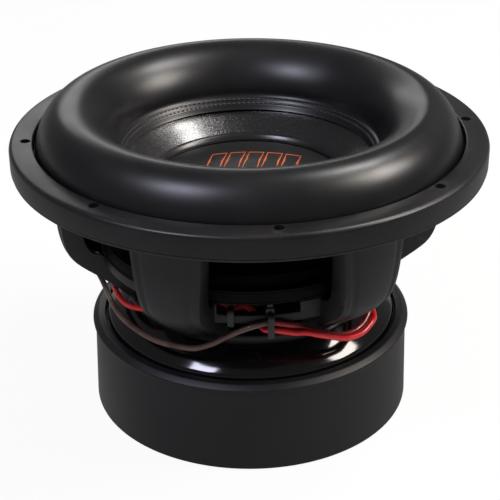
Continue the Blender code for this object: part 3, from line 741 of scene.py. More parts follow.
# Spider cloth: its own black, darkened further as painted shade of the basket's inside.
SPIDER_CLOTH_PAINTED_SHADE = Cloth("resin treated cloth with painted shade", (0.002, 0.002, 0.002), (0.006, 0.0055, 0.005), 0.55, 0.70, 1800.0,
                     30.0, bump=0.16, specular=0.15, threads=900.0)
# Spacer ring: its own black plastic, darkened to near pure black as painted shade of the basket's inside.
SPACER_PAINTED_SHADE = Finish("spacer plastic with painted shade", (0.002, 0.002, 0.002), (0.004, 0.004, 0.004), 0.60, 0.75, 1500.0,
                        40.0, bump=0.020, specular=0.12)
FORMER_FILM = Finish("black former film", (0.012, 0.011, 0.010), (0.020, 0.018, 0.016), 0.30, 0.40, 1200.0, 20.0)
COIL_WIRE = TurnedMetal("enamelled coil wire", (0.42, 0.15, 0.06), (0.52, 0.20, 0.08), 0.25, 0.35, 900.0, 30.0,
                        bump=0.08, metallic=0.9)
BARE_COPPER = TurnedMetal("bare copper", (0.60, 0.28, 0.15), (0.68, 0.34, 0.19), 0.28, 0.38, metallic=1.0)
BLACK_PLATING = TurnedMetal("gloss black plating", (0.003, 0.003, 0.0035), (0.005, 0.005, 0.0055), 0.07, 0.13,
                            1600.0, 16.0, bump=0.0012, specular=0.5,
                            edge_colour=(0.10, 0.10, 0.10), edge=0.2)
FERRITE = Finish("sintered ferrite", (0.045, 0.045, 0.050), (0.070, 0.068, 0.072), 0.50, 0.65, 900.0, 40.0,
                 bump=0.06)
SCREEN = Perforated("perforated screen", (0.060, 0.060, 0.062), (0.080, 0.080, 0.082), 0.40, 0.50, bump=0.30,
                    metallic=0.6)
BLACK_STEEL = Finish("black oxide steel", (0.020, 0.020, 0.022), (0.040, 0.038, 0.040), 0.28, 0.40, 1800.0, 60.0,
                     bump=0.012, metallic=0.7, edge_colour=(0.25, 0.25, 0.25), edge=0.5)
BLACK_PLASTIC = Finish("moulded black plastic", (0.012, 0.012, 0.013), (0.018, 0.018, 0.019), 0.38, 0.50, 1700.0,
                       40.0, bump=0.020, edge_colour=(0.06, 0.06, 0.06), edge=0.2)
CONTACT = Finish("gold coloured plating", (0.62, 0.42, 0.14), (0.72, 0.52, 0.20), 0.22, 0.35, 1500.0, 60.0,
                 bump=0.008, metallic=1.0)
RED_BUTTON = Finish("red button plastic", (0.42, 0.012, 0.018), (0.50, 0.020, 0.026), 0.25, 0.35, 1500.0, 50.0,
                    bump=0.008)
BLACK_BUTTON = Finish("black button plastic", (0.014, 0.014, 0.015), (0.020, 0.020, 0.021), 0.25, 0.35, 1500.0,
                      50.0, bump=0.008)
BRAID = Cloth("tinned braid", (0.30, 0.28, 0.25), (0.50, 0.47, 0.42), 0.35, 0.50, 2400.0, 60.0, bump=0.12,
              metallic=0.5, threads=2600.0)
RED_SLEEVE = Finish("red wire sleeve", (0.50, 0.006, 0.011), (0.62, 0.012, 0.019), 0.26, 0.36, 1300.0, 60.0,
                    bump=0.012, coat=0.2)
# Brown lead: beyond the tie its colour is a red darkened as painted shade.
BROWN_AND_SHADED_RED_SLEEVE = BrownToShadedRedSleeve("brown wire sleeve with painted shade red end", (0.050, 0.026, 0.018), (0.110, 0.062, 0.045), 0.26, 0.36,
                             1300.0, 60.0, bump=0.012, coat=0.2, painted_shade_red=(0.200, 0.006, 0.011))
NYLON = Finish("black nylon", (0.016, 0.016, 0.017), (0.026, 0.025, 0.027), 0.32, 0.42, 1500.0, 60.0, bump=0.010)
PRINT = Finish("orange print", (0.50, 0.085, 0.020), (0.62, 0.120, 0.030), 0.45, 0.60, 2000.0, 60.0, bump=0.010)


class Body(Enum):
    """The moving bodies of the frame that a piece rides on."""

    FRAME = "frame"
    CONE = "cone"


def dress(item: Piece, finish: Finish) -> None:
    """Give every face of a piece one finish."""
    item.data.materials.clear()
    item.data.materials.append(finish.material())


def fit(item: Piece, finish: Finish, body: Body, slot: str, *nodes: str) -> Piece:
    """Dress a piece, let it ride on its body and stand for its nodes.

    Args:
        item: the finished piece.
        finish: its surface.
        body: the body it moves with.
        slot: not used.
        nodes: the nodes that it replaces.

    Returns:
        The same piece.
    """
    dress(item, finish)
    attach(item, body.value)
    if nodes:
        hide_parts(*nodes)
    return item


def flex(item: Piece, finish: Finish, node: str, rim: float, moving: float) -> Piece:
    """Dress a ring that bends between the frame and the cone.

    Args:
        item: the finished piece.
        finish: its surface.
        node: the node that it replaces.
        rim: radius that stays with the frame.
        moving: radius from which it moves with the cone.

    Returns:
        The same piece.
    """
    dress(item, finish)
    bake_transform(item, Body.FRAME.value, Body.CONE.value, start=(rim, 0.0, 0.1), end=(moving, 0.0, 0.1))
    weights = item.data.attributes["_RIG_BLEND"].data
    for vertex, weight in zip(item.data.vertices, weights):
        weight.value = smoothstep((rim - vertex.co.xy.length) / (rim - moving))
    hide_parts(node)
    return item


# ---------------------------------------------------------------- trim ring and basket
@dataclass
class TrimRing:
    """Flat trim ring with a rounded rim, a skirt and the screw holes."""

    outer: float = 0.160
    inner: float = 0.1440
    hole_circle: float = 0.149
    hole_radius: float = 0.0035
    holes: int = 8

    def hole_cutter(self) -> Piece:
        """Give one cutter with a round bar through every mounting hole."""
        bars: list[Piece] = []
        for i in range(self.holes):
            centre = polar(self.hole_circle, 45.0 * i, 0.008)
            bars.append(lofted("bar", [
                [centre + Vector((self.hole_radius * math.cos(a), self.hole_radius * math.sin(a), level))
                 for a in (2 * math.pi * k / 28 for k in range(28))] for level in (-0.03, 0.03)]))
        return joined("hole cutter", bars)

    def build(self) -> list[Piece]:
        """Build and dress the ring."""
        rim = self.outer
        outline = [
            (self.inner + 0.0008, 0.0), (rim - 0.0034, 0.0), (rim - 0.0018, 0.0004), (rim - 0.0006, 0.0014),
            (rim, 0.0032), (rim, 0.0147), (rim - 0.0003, 0.0150), (rim - 0.0030, 0.0150),
            (rim - 0.0030, 0.0092), (0.1475, 0.0092), (0.1475, 0.0078), (self.inner, 0.0078),
            (self.inner, 0.0010),
        ]
        ring = turned("trim_ring_shape", rounded(outline, 0.0009, 3))
        cut(ring, self.hole_cutter())
        return [fit(ring, TRIM_PAINT, Body.FRAME, "trim_paint", "trim_ring")]


@dataclass
class Basket:
    """Cast basket with its flange, ribbed spokes, spider landing, bosses and base ring."""

    spokes: int = 6
    wall: float = 0.0045
    web: float = 0.0055
    crown: float = 0.0040
    rib: float = 0.0036
    channel: float = 0.0046
    channel_depth: float = 0.0008
    front: float = 270.0
    stations: Sequence[tuple[tuple[float, float], tuple[float, float], float]] = (
        ((0.1340, 0.0149), (0.1212, 0.0152), 0.0255),
        ((0.1338, 0.0300), (0.1186, 0.0304), 0.0245),
        ((0.1330, 0.0550), (0.1160, 0.0550), 0.0225),
        ((0.1310, 0.0700), (0.1135, 0.0690), 0.0210),
        ((0.1270, 0.0805), (0.1090, 0.0760), 0.0200),
        ((0.1200, 0.0885), (0.1020, 0.0790), 0.0195),
        ((0.1050, 0.1000), (0.0940, 0.0900), 0.0190),
        ((0.0930, 0.1100), (0.0860, 0.1000), 0.0190),
        ((0.0860, 0.1160), (0.0800, 0.1085), 0.0190),
    )

    def face_level(self, across: float, half: float) -> float:
        """How far the outer face lies inside the spoke's crown line at a place across it."""
        share = abs(across) / half
        level = self.crown * share ** 2.2
        from_edge = half - abs(across)
        if self.rib < from_edge < self.rib + self.channel:
            depth = math.sin(math.pi * (from_edge - self.rib) / self.channel)
            level += self.channel_depth * min(1.0, depth * 1.8)
        return level

    def spoke(self, angle: float) -> Piece:
        """Build one hollow-backed spoke at an angle in degrees."""
        outer = smooth_line([s[0] for s in self.stations], 5)
        inner = smooth_line([s[1] for s in self.stations], 5)
        halves = smooth_line([(s[2], 0.0) for s in self.stations], 5)
        turn = Matrix.Rotation(math.radians(angle), 4, "Z")
        sections: list[list[Vector]] = []
        for i, ((ro, do), (ri, di), (half, _)) in enumerate(zip(outer, inner, halves)):
            flare = 0.0035 * (1.0 - smoothstep(i / 4.0)) + 0.0020 * smoothstep((i - 35) / 5.0)
            wide = half + flare
            start, end = Vector((ro, 0.0, height(do))), Vector((ri, 0.0, height(di)))
            inward, depth = (end - start).normalized(), (end - start).length
            web = wide - self.wall
            corners: list[tuple[float, float]] = []
            for k in range(37):
                across = -wide + 2 * wide * k / 36
                corners.append((across, self.face_level(across, wide)))
            corners += [(wide, depth), (web, depth), (web, self.web + self.crown),
                        (-web, self.web + self.crown), (-web, depth), (-wide, depth)]
            sections.append([turn @ (start + inward * level + Vector((0.0, across, 0.0)))
                             for across, level in corners])
        item = lofted("spoke", sections)
        soften(item, 0.0007, 2, 50.0)
        return item

    def foot_pocket(self, angle: float) -> Piece:
        """Give the cutter of the small pocket over the bolt at one spoke's foot."""
        place = Matrix.Rotation(math.radians(angle - 90.0), 4, "Z") @ Matrix.Translation(
            (-0.004, 0.0905, height(0.1130))) @ Matrix.Rotation(math.radians(-35.0), 4, "X")
        return soft_block("pocket", (0.0105, 0.012, 0.0085), place, 0.0015)

    def build(self) -> list[Piece]:
        """Build and dress the casting."""
        flange = [
            (0.1190, 0.0136), (0.1380, 0.0136), (0.1390, 0.0095), (0.1565, 0.0095), (0.1565, 0.0153),
            (0.1594, 0.0153), (0.1594, 0.0171), (0.1190, 0.0171),
        ]
        top = turned("flange", rounded(flange, 0.0005, 2))
        cut(top, TrimRing().hole_cutter())
        base = [
            (0.0500, 0.1110), (0.0760, 0.1110), (0.0790, 0.1085), (0.0870, 0.1085), (0.0880, 0.1100),
            (0.0880, 0.1130), (0.0860, 0.1165), (0.0500, 0.1165),
        ]
        landing = ring_section(0.0955, 0.1035, 0.0770, 0.0840)
        bar = ring_section(0.0968, 0.1032, 0.0844, 0.0910)
        cheek = ring_section(0.0968, 0.1032, 0.0775, 0.0912)
        parts = [
            top,
            turned("base", rounded(base, 0.0012, 3)),
            turned("landing", rounded(landing, 0.0008), 168, self.front + 11.5, 330.0),
            turned("bar", rounded(bar, 0.0012), 32, self.front - 19.0, 31.0),
            turned("cheek", rounded(cheek, 0.0012), 12, self.front - 27.0, 8.5),
            turned("cheek", rounded(cheek, 0.0012), 16, self.front + 11.5, 14.5),
        ]
        for angle in TERMINAL_ANGLES.values():
            place = facing(angle) @ Matrix.Translation((0.0, 0.1006, height(0.0838)))
            parts.append(soft_block("boss", (0.054, 0.0062, 0.0132), place, 0.0008))
        for i in range(self.spokes):
            angle = 360.0 * i / self.spokes
            spoke = self.spoke(angle)
            cut(spoke, self.foot_pocket(angle))
            parts.append(spoke)
        casting = joined("cast_basket_shape", parts)
        return [fit(casting, CAST_PAINT, Body.FRAME, "cast_paint", "basket")]


# ---------------------------------------------------------------- surround and cone
@dataclass
class Surround:
    """Tall rubber roll with its glued foot, its steep sewn flange and two rows of stitches."""

    centre: float = 0.1190
    outer_half: float = 0.0235
    inner_half: float = 0.0290
    foot: float = 0.0080
    rise: float = 0.0310
    rubber: float = 0.0011
    stitches: int = 150

    def roll(self, steps: int) -> list[tuple[float, float]]:
        """Middle line of the roll from its outer foot to its inner foot."""
        line: list[tuple[float, float]] = []
        for i in range(steps + 1):
            turn = math.pi * i / steps
            outside = turn < math.pi / 2
            half = self.outer_half if outside else self.inner_half
            power = 2 / 1.9 if outside else 2 / 1.7
            across = math.copysign(abs(math.cos(turn)) ** power, math.cos(turn)) * half
            line.append((self.centre + across, self.foot - math.sin(turn) ** power * self.rise))
        return line

    def stitch_row(self, name: str, radius: float, depth: float) -> Piece:
        """Build one row of short thread stitches lying on the sewn flange."""
        items: list[Piece] = []
        for i in range(self.stitches):
            angle = 360.0 * i / self.stitches
            step = 360.0 / self.stitches * 0.36
            route = [polar(radius + 0.0003, angle - step, depth + 0.0003),
                     polar(radius - 0.0004, angle, depth - 0.0001),
                     polar(radius + 0.0003, angle + step, depth + 0.0003)]
            items.append(tube("stitch", route, lambda share: 0.00018 + 0.00022 * math.sin(math.pi * share) ** 0.5,
                              0.0006, 6))
        return joined(name, items)

    def build(self) -> list[Piece]:
        """Build and dress the roll and its stitches."""
        middle = [(0.1470, 0.00865), (0.1432, 0.00865)] + self.roll(64)[1:-1]
        middle += [(0.0898, 0.0086), (0.0890, 0.0098), (0.0880, 0.0113), (0.0873, 0.0114), (0.0868, 0.0121),
                   (0.0858, 0.0140), (0.0851, 0.0143), (0.0846, 0.0151), (0.0837, 0.0170), (0.0829, 0.0180)]
        shape = turned("rubber_roll_shape", skin(middle, self.rubber), sharp=60.0)
        pieces = [flex(shape, ROLL_RUBBER, "surround", 0.1425, 0.0905)]
        for name, radius, depth in (("stitching_outer", 0.0866, 0.0110), ("stitching_inner", 0.0850, 0.0135)):
            row = self.stitch_row(name + "_thread", radius, depth)
            pieces.append(fit(row, THREAD, Body.CONE, "thread", name))
        return pieces


@dataclass
class Cone:
    """Pressed paper cone with its domed cap, the cap's ring, a printed mark and the coil."""

    cap_edge: float = 0.0625
    cap_rise: float = 0.0105
    cap_apex: float = 0.0240
    mark_turn: float = -6.46

    def cap_depth(self, radius: float) -> float:
        """Depth of the dome at a radius."""
        sphere = (self.cap_edge ** 2 + self.cap_rise ** 2) / (2 * self.cap_rise)
        return self.cap_apex + sphere - math.sqrt(sphere ** 2 - radius ** 2)

    def printed_mark(self) -> Piece:
        """Build the plain mark on the dome: a row of slanted outlined bars."""
        turn = Matrix.Rotation(math.radians(self.mark_turn), 2)
        ribbons: list[Piece] = []
        for i in range(5):
            left, low, wide, tall, lean = -0.0310 + 0.0128 * i, -0.0100, 0.0105, 0.0310, 0.0055
            corners = [(left, low), (left + wide, low), (left + wide + lean, low + tall), (left + lean, low + tall)]
            middle = Vector((left + (wide + lean) / 2, low + tall / 2))
            rows: list[list[Vector]] = []
            for a, b in zip(corners, corners[1:] + corners[:1]):
                for k in range(10):
                    spot = Vector(a).lerp(Vector(b), k / 10)
                    inside = spot + (middle - spot).normalized() * 0.0013
                    row: list[Vector] = []
                    for point, lift in ((spot, 0.00002), (spot, 0.00012), (inside, 0.00012), (inside, 0.00002)):
                        flat = turn @ point
                        row.append(Vector((flat.x, flat.y, height(self.cap_depth(flat.length)) + lift)))
                    rows.append(row)
            ribbons.append(lofted("bar", rows, looped=True))
        return joined("printed_mark", ribbons)

    def build(self) -> list[Piece]:
        """Build and dress the cone and everything on it."""
        line = smooth_line([(0.0910, 0.0093), (0.0843, 0.0203), (0.0690, 0.0320), (0.0540, 0.0446),
                            (0.0400, 0.0562)], 12)
        cone = turned("cone_shape", skin(line, 0.0016), sharp=60.0)
        steps = 40
        upper = [(self.cap_edge * i / steps, self.cap_depth(self.cap_edge * i / steps)) for i in range(steps + 1)]
        lower = [(r, d + 0.0012) for r, d in reversed(upper)]
        cap = turned("dust_cap_shape", upper + lower)
        ring = [(0.0682, 0.03045), (0.0674, 0.0296), (0.0655, 0.0302), (0.0636, 0.0330), (0.0632, 0.0347)]
        bead = turned("dust_cap_ring_shape", rounded(ring, 0.0008))
        former = turned("coil_former_shape", ring_section(0.0382, 0.0387, 0.0540, 0.1530), 96)
        inner = turned("voice_coil_inner_shape", ring_section(0.0390, 0.0396, 0.1020, 0.1520), 96)
        outer = turned("voice_coil_outer_shape", ring_section(0.0399, 0.0406, 0.1020, 0.1520), 96)
        return [
            fit(cone, CONE_PAPER, Body.CONE, "pressed_paper", "cone"),
            fit(cap, CAP_PAPER, Body.CONE, "pressed_paper", "dust_cap"),
            fit(bead, CAP_RING, Body.CONE, "gloss_ring", "dust_cap_ring"),
            fit(self.printed_mark(), PRINT, Body.CONE, "pressed_paper"),
            fit(former, FORMER_FILM, Body.CONE, "former_film", "coil_former"),
            fit(inner, COIL_WIRE, Body.CONE, "coil_wire", "voice_coil_inner"),
            fit(outer, COIL_WIRE, Body.CONE, "coil_wire", "voice_coil_outer"),
        ]


@dataclass
class Suspension:
    """Two corrugated spiders, the spacer between their rims and the tinsel leads."""

    rolls: int = 8
    lower_rim: float = 0.0763
    spacer: float = 0.0070

    def spider(self, name: str, rim: float) -> Piece:
        """Build one spider from the depth of its glued rim."""
        middle = [(0.1030, rim), (0.0990, rim), (0.0950, rim), (0.0932, rim - 0.0030), (0.0915, rim - 0.0055)]
        for i in range(1, self.rolls * 8):
            r = 0.0915 + (0.0440 - 0.0915) * i / (self.rolls * 8)
            middle.append((r, rim - 0.0055 + 0.0018 * math.sin(math.pi * i / 8)))
        middle += [(0.0440, rim - 0.0055), (0.0395, rim - 0.0055)]
        return turned(name, skin(middle, 0.0008), 144, sharp=60.0)

    def build(self) -> list[Piece]:
        """Build and dress the suspension."""
        bottom = self.lower_rim - 0.0007
        top = bottom - self.spacer
        upper_rim = top - 0.0007
        pieces = [
            flex(self.spider("spider_lower_cloth", self.lower_rim), SPIDER_CLOTH_PAINTED_SHADE, "spider_lower",
                 0.0955, 0.0400),
            flex(self.spider("spider_upper_cloth", upper_rim), SPIDER_CLOTH_PAINTED_SHADE, "spider_upper",
                 0.0955, 0.0400),
        ]
        # The spacer ring's finish carries painted shade: its colour is darkened to near black.
        ring = turned("spacer_ring_shape", rounded(ring_section(0.0962, 0.1030, top, bottom), 0.0005), 144)
        pieces.append(fit(ring, SPACER_PAINTED_SHADE, Body.FRAME, "spacer_plastic", "spider_spacer_ring"))
        for side, angle in TERMINAL_ANGLES.items():
            turn = facing(angle)
            for sign, colour in ((-1, "black"), (1, "red")):
                across = sign * BUTTON_OFFSET
                route = [turn @ Vector((across * k, reach, height(depth))) for k, reach, depth in (
                    (0.8, 0.0402, 0.0790), (0.9, 0.0500, 0.0830), (1.0, 0.0640, 0.0925), (1.0, 0.0800, 0.0900),
                    (1.0, 0.0915, 0.0822))]
                node = "tinsel_lead_%s_%s" % (colour, side)
                lead = tube(node + "_braid", route, lambda share: 0.0009, 0.0015, 10)
                pieces.append(flex(lead, BRAID, node, 0.0900, 0.0410))
        return pieces


# ---------------------------------------------------------------- motor
@dataclass
class Motor:
    """Top plate, ferrite rings, yoke, shorting ring, vent screen, rubber boot and frame bolts."""

    bolts: int = 6
    bolt_circle: float = 0.068

    def boot(self) -> Piece:
        """Build the rubber boot with its bevelled lip and its flange under the yoke."""
        outline = [
            (0.1033, 0.1330), (0.1082, 0.1330), (0.1118, 0.1356), (0.1122, 0.1366), (0.1120, 0.1377),
            (0.1106, 0.1388), (0.1104, 0.1400), (0.1120, 0.1968), (0.1112, FLANGE_TOP), (0.0700, FLANGE_TOP),
            (0.0700, 0.1936), (0.1078, 0.1936), (0.1078, 0.1370), (0.1033, 0.1370),
        ]
        return turned("magnet_boot_shape", rounded(outline, 0.0006, 3))

    def build(self) -> list[Piece]:
        """Build and dress the motor."""
        plate = [(0.0416, 0.1168), (0.0836, 0.1168), (0.0846, 0.1174), (0.1000, 0.1302), (0.1010, 0.1314),
                 (0.1015, 0.1332), (0.1015, 0.1367), (0.0416, 0.1367)]
        yoke = [(0.0200, 0.1130), (0.0370, 0.1130), (0.0370, 0.1796), (0.1040, 0.1796), (0.1040, 0.1933),
                (0.0240, 0.1933), (0.0160, 0.1833), (0.0160, 0.1170)]
        pieces = [
            fit(turned("top_plate_shape", rounded(plate, 0.0006)), BLACK_PLATING, Body.FRAME, "black_steel",
                "top_plate"),
            fit(turned("pole_yoke_shape", rounded(yoke, 0.0008), 128), BLACK_PLATING, Body.FRAME, "black_steel",
                "pole_yoke"),
            fit(self.boot(), BOOT_RUBBER, Body.FRAME, "boot_rubber", "magnet_boot"),
        ]
        for node, top in (("magnet_upper", 0.1370), ("magnet_lower", 0.1583)):
            ring = ring_section(0.0550, 0.1075, top, top + 0.0210)
            pieces.append(fit(turned(node + "_shape", rounded(ring, 0.0010), 96), FERRITE, Body.FRAME, "ferrite",
                              node))
        for node, finish in (("shorting_ring", BARE_COPPER), ("vent_screen", SCREEN)):
            dress(frame["nodes"][node], finish)
        for i in range(self.bolts):
            node = "frame_bolt_%d" % (i + 1)
            place = Matrix.Translation(polar(self.bolt_circle, 360.0 / self.bolts * i, 0.1107))
            bolt = socket_screw(node + "_screw", (0.0050, 0.0047), (0.0029, 0.0180), 0.0029, place)
            pieces.append(fit(bolt, BLACK_STEEL, Body.FRAME, "screw_steel", node))
        return pieces


# ---------------------------------------------------------------- terminals, leads and ties
@dataclass
class Terminals:
    """Push terminal blocks with their buttons, contacts and screws."""

    screw_offset: float = 0.023

    def build(self) -> list[Piece]:
        """Dress the blocks and build their screws."""
        pieces: list[Piece] = []
        nodes = frame["nodes"]
        for side, angle in TERMINAL_ANGLES.items():
            dress(nodes["terminal_body_" + side], BLACK_PLASTIC)
            dress(nodes["button_red_" + side], RED_BUTTON)
            dress(nodes["button_black_" + side], BLACK_BUTTON)
            for colour in ("red", "black"):
                dress(nodes["terminal_contact_%s_%s" % (colour, side)], CONTACT)
            for i, across in enumerate((-self.screw_offset, self.screw_offset), start=1):
                node = "terminal_screw_%s_%d" % (side, i)
                place = facing(angle) @ Matrix.Translation((across, 0.1075, height(0.0820))) @ Matrix.Rotation(
                    math.radians(-90.0), 4, "X")
                screw = socket_screw(node + "_screw", (0.0028, 0.0022), (0.0013, 0.0088), 0.0014, place)
                pieces.append(fit(screw, BLACK_STEEL, Body.FRAME, "screw_steel", node))
        return pieces


@dataclass
class Leads:
    """Red and brown leads laid from one terminal to the other, and their two ties."""

    radius: float = 0.0020

    def mouth(self, angle: float, sign: int) -> list[Vector]:
        """Straight run out of one wire hole and the start of its bend."""
        run = ((0.1105, 0.0872), (0.1150, 0.0872), (0.1192, 0.0872), (0.1230, 0.0888))
        return [facing(angle) @ Vector((sign * BUTTON_OFFSET, reach, height(depth))) for reach, depth in run]

    def between_terminals(self, sign: int, middle: Sequence[Colour]) -> list[Vector]:
        """Route from a hole of the left block to the hole on the opposite side of the right one.

        Args:
            sign: side of the hole in the left block, -1 or 1.
            middle: radius, angle in degrees and depth of each point between the blocks.

        Returns:
            The whole route.
        """
        return (self.mouth(TERMINAL_ANGLES["left"], sign) + [polar(*p) for p in middle]
                + self.mouth(TERMINAL_ANGLES["right"], -sign)[::-1])

    def brown_route(self) -> list[Vector]:
        """Route of the brown lead."""
        middle = [
            (0.1250, 155.2, 0.0935), (0.1215, 159.0, 0.1010), (0.1125, 166.0, 0.1095), (0.1045, 174.0, 0.1145),
            (0.1010, 182.0, 0.1158), (0.1000, 192.0, 0.1153), (0.1000, 203.0, 0.1163), (0.1000, 215.0, 0.1170),
            (0.1005, 225.5, 0.1170), (0.1010, 234.5, 0.1154), (0.1022, 242.8, 0.1128), (0.1036, 250.0, 0.1062),
            (0.1048, 254.6, 0.1000), (0.1056, 259.2, 0.0949), (0.1057, 265.5, 0.0903), (0.1059, 271.0, 0.0886),
            (0.1054, 277.0, 0.0917), (0.1031, 282.5, 0.0969), (0.1036, 288.0, 0.1014), (0.1036, 293.5, 0.1058),
            (0.1031, 298.0, 0.1096), (0.1024, 303.0, 0.1121), (0.1018, 308.0, 0.1123), (0.1010, 313.0, 0.1094),
            (0.0980, 318.5, 0.1040), (0.0930, 325.0, 0.1000), (0.0872, 335.0, 0.0975), (0.0850, 348.0, 0.0968),
            (0.0838, 2.0, 0.0972), (0.0838, 11.0, 0.0985), (0.0895, 18.0, 0.1005), (0.1010, 21.0, 0.1023),
            (0.1120, 23.5, 0.1008), (0.1205, 25.0, 0.0955),
        ]
        return self.between_terminals(-1, middle)

    def red_route(self) -> list[Vector]:
        """Route of the red lead."""
        middle = [
            (0.1235, 145.2, 0.0930), (0.1175, 147.5, 0.1005), (0.1080, 153.0, 0.1065), (0.1005, 163.0, 0.1095),
            (0.0976, 176.0, 0.1099), (0.0958, 191.0, 0.1096), (0.0950, 200.0, 0.1093), (0.0945, 207.0, 0.1066),
            (0.0915, 214.0, 0.1040), (0.0870, 224.0, 0.0990), (0.0860, 234.0, 0.0920), (0.0890, 242.0, 0.0830),
            (0.0915, 248.5, 0.0802), (0.0920, 252.5, 0.0828), (0.0920, 256.5, 0.0852), (0.0920, 260.8, 0.0838),
            (0.0922, 264.0, 0.0862), (0.0930, 265.8, 0.0918), (0.0966, 267.2, 0.0955), (0.1015, 268.8, 0.0962),
            (0.1050, 271.2, 0.0945), (0.1061, 275.8, 0.0959), (0.1073, 279.3, 0.0972), (0.1077, 282.5, 0.0978),
            (0.1081, 287.8, 0.1017), (0.1082, 293.0, 0.1060), (0.1077, 297.5, 0.1099), (0.1070, 302.5, 0.1125),
            (0.1064, 308.0, 0.1130), (0.1054, 313.5, 0.1102), (0.1030, 316.8, 0.1102), (0.0985, 320.0, 0.1086),
            (0.0905, 327.0, 0.1050), (0.0842, 336.0, 0.1028), (0.0815, 348.0, 0.1014), (0.0808, 2.0, 0.1018),
            (0.0828, 14.0, 0.1035), (0.0900, 22.0, 0.1058), (0.1010, 28.0, 0.1065), (0.1125, 32.5, 0.1040),
            (0.1205, 34.8, 0.0965),
        ]
        return self.between_terminals(1, middle)

    def tie(self, name: str, angle: float, box: tuple[float, float, float, float]) -> Piece:
        """Build a cable tie round a bar and its wires.

        Args:
            name: the piece's name.
            angle: its angle about the axis, in degrees.
            box: inner radius, outer radius, top depth and bottom depth of its loop.

        Returns:
            The tie with its head and its cut end.
        """
        inner, outer, top, bottom = box
        strap, half, corner = 0.0011, 0.0021, 0.0018
        sections: list[list[Vector]] = []
        for r, d, out, up, start in ((outer, top, 1, 1, 90), (outer, bottom, 1, -1, 0),
                                     (inner, bottom, -1, -1, -90), (inner, top, -1, 1, -180)):
            for i in range(7):
                turn = math.radians(start - 15 * i)
                middle = Vector((r - out * corner, 0.0, height(d) - up * corner))
                way = Vector((math.cos(turn), 0.0, math.sin(turn)))
                sections.append([middle + way * (corner + reach) + Vector((0.0, across * half, 0.0))
                                 for across, reach in ((-1, 0.0), (1, 0.0), (1, strap), (0.8, strap * 1.15),
                                                       (-0.8, strap * 1.15), (-1, strap))])
        loop = lofted("loop", sections, looped=True)
        head = soft_block("head", (0.0050, 0.0056, 0.0040),
                          Matrix.Translation(((inner + outer) / 2, 0.0, height(top) + 0.0022)), 0.0007)
        tail = soft_block("tail", (0.0011, 0.0036, 0.0030),
                          Matrix.Translation(((inner + outer) / 2 + 0.0006, 0.0, height(top) + 0.0050)), 0.0003)
        item = joined(name, [loop, head, tail])
        item.data.transform(Matrix.Rotation(math.radians(angle), 4, "Z"))
        return item

    def build(self) -> list[Piece]:
        """Build and dress the leads and their ties."""
        brown = tube("brown_lead", self.brown_route(), lambda share: self.radius, 0.0022, 16)
        red = tube("red_lead", self.red_route(), lambda share: self.radius, 0.0022, 16)
        return [
            fit(brown, BROWN_AND_SHADED_RED_SLEEVE, Body.FRAME, "wire_brown", "brown_wire"),
            fit(red, RED_SLEEVE, Body.FRAME, "wire_red", "red_wire"),
            fit(self.tie("front_tie", 270.4, (0.0958, 0.1086, 0.0832, 0.0984)), NYLON, Body.FRAME, "tie_nylon",
                "cable_tie_front"),
            fit(self.tie("inner_tie", 256.6, (0.0886, 0.1040, 0.0815, 0.0922)), NYLON, Body.FRAME, "tie_nylon",
                "cable_tie_inner"),
        ]


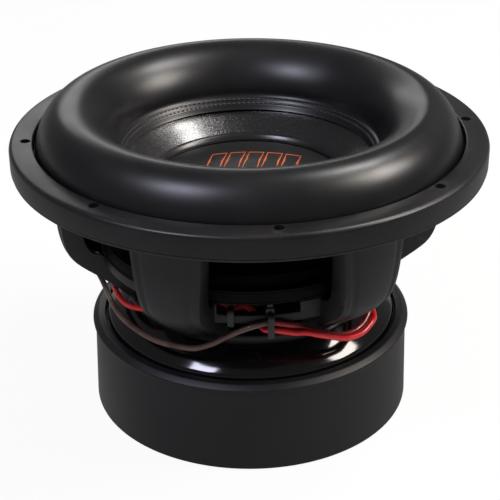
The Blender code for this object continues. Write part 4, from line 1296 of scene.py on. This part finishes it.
# ---------------------------------------------------------------- studio
@dataclass
class Studio:
    """Camera, soft lamps, white surroundings and the floor."""

    camera_place: Colour = (-0.0958, -0.8458, 0.5462)
    camera_aim: Colour = (0.0, 0.0, 0.1067)
    camera_roll: float = -0.44
    lens: float = 98.22
    surround_level: float = 0.14
    mirrored_level: float = 0.15
    mirrored_floor: float = 0.36
    glow_share: float = 0.93
    floor_reach: float = 6.0

    def camera(self) -> None:
        """Place the camera."""
        data = bpy.data.cameras.new("camera")
        data.lens = self.lens
        data.sensor_width = 36.0
        data.clip_start, data.clip_end = 0.05, 20.0
        item = bpy.data.objects.new("camera", data)
        bpy.context.scene.collection.objects.link(item)
        place, aim = Vector(self.camera_place), Vector(self.camera_aim)
        item.rotation_mode = "QUATERNION"
        item.location = place
        item.rotation_quaternion = (aim - place).to_track_quat("-Z", "Y") @ Quaternion(
            (0.0, 0.0, 1.0), math.radians(self.camera_roll))
        bpy.context.scene.camera = item

    def lamp(self, name: str, place: Colour, size: tuple[float, float], power: float, colour: Colour) -> None:
        """Place one soft box that looks at the speaker.

        Args:
            name: the lamp's name.
            place: where it stands.
            size: its width and height.
            power: its power in watts.
            colour: its tint.
        """
        data = bpy.data.lights.new(name, "AREA")
        data.shape = "RECTANGLE"
        data.size, data.size_y = size
        data.energy = power
        data.color = colour
        item = bpy.data.objects.new(name, data)
        item.location = place
        item.rotation_euler = (Vector((0.0, 0.0, 0.16)) - Vector(place)).to_track_quat("-Z", "Y").to_euler()
        bpy.context.scene.collection.objects.link(item)

    def lamps(self) -> None:
        """Place the lamps."""
        self.lamp("warm box", (1.40, -0.25, 1.35), (0.62, 0.62), 27.0, (1.0, 0.935, 0.87))
        self.lamp("cone box", (0.78, 0.24, 1.55), (0.32, 0.32), 12.0, (1.0, 0.975, 0.95))
        self.lamp("cool box", (-1.05, -0.80, 1.75), (0.52, 0.52), 22.0, (0.80, 0.80, 1.0))
        self.lamp("back box", (-0.2, 1.9, 1.0), (1.2, 0.4), 5.0, (1.0, 1.0, 1.0))

    def background_level(self, link: Link, mirrored: float) -> Socket:
        """Give the white background's level for a ray: full when seen, less when mirrored in a surface.

        Args:
            link: the tree's link helper.
            mirrored: the level that a glossy surface mirrors.

        Returns:
            The level, from 0 to 1.
        """
        path = link.node("LightPath")
        dimmed = link.math("MULTIPLY", path.outputs["Is Glossy Ray"], mirrored)
        seen = link.math("MAXIMUM", path.outputs["Is Camera Ray"], dimmed)
        return link.math("MAXIMUM", seen, path.outputs["Is Transmission Ray"])

    def world(self) -> None:
        """Make the white surroundings."""
        world = bpy.data.worlds.new("white room")
        world.use_nodes = True
        world.node_tree.nodes.clear()
        link = Link(world.node_tree)
        level = link.math("MAXIMUM", self.background_level(link, self.mirrored_level), self.surround_level)
        back = link.node("Background")
        link.put(back.inputs["Strength"], level)
        back.inputs["Color"].default_value = (1.0, 1.0, 1.0, 1.0)
        out = link.node("OutputWorld")
        link.put(out.inputs["Surface"], back.outputs[0])
        bpy.context.scene.world = world

    def floor(self) -> None:
        """Lay the white floor, which keeps the speaker's shadow."""
        reach = self.floor_reach
        corners = [Vector((x * reach, y * reach, -0.0004)) for x, y in ((-1, -1), (1, -1), (1, 1), (-1, 1))]
        item = make_object("floor", corners, [(0, 1, 2, 3)])
        made = bpy.data.materials.new("white floor")
        made.use_nodes = True
        made.node_tree.nodes.clear()
        link = Link(made.node_tree)
        paper = link.node("TexNoise", Scale=3.0, Detail=2.0)
        tone = link.mix(paper.outputs["Fac"], (0.86, 0.86, 0.86), (0.90, 0.90, 0.90))
        matt = link.node("BsdfDiffuse", Color=tone)
        glow = link.node("Emission")
        glow.inputs["Color"].default_value = (1.0, 1.0, 1.0, 1.0)
        blend = link.node("MixShader")
        link.put(glow.inputs["Strength"], self.background_level(link, self.mirrored_floor))
        link.put(blend.inputs[0], link.math("MULTIPLY", self.background_level(link, 1.0), self.glow_share))
        link.put(blend.inputs[1], matt.outputs[0])
        link.put(blend.inputs[2], glow.outputs[0])
        out = link.node("OutputMaterial")
        link.put(out.inputs["Surface"], blend.outputs[0])
        item.data.materials.append(made)

    def build(self) -> None:
        """Set up the whole studio."""
        self.camera()
        self.lamps()
        self.world()
        self.floor()
        bpy.context.scene.view_settings.view_transform = "Standard"


def main() -> None:
    """Build the studio and every part of the speaker in order."""
    logging.basicConfig(level=logging.INFO, format="%(message)s")
    Studio().build()
    for part in (TrimRing(), Basket(), Surround(), Cone(), Suspension(), Motor(), Terminals(), Leads()):
        for piece in part.build():
            LOG.info("%s: %s, %d faces", type(part).__name__, piece.name, len(piece.data.polygons))


if __name__ == "__main__":
    main()
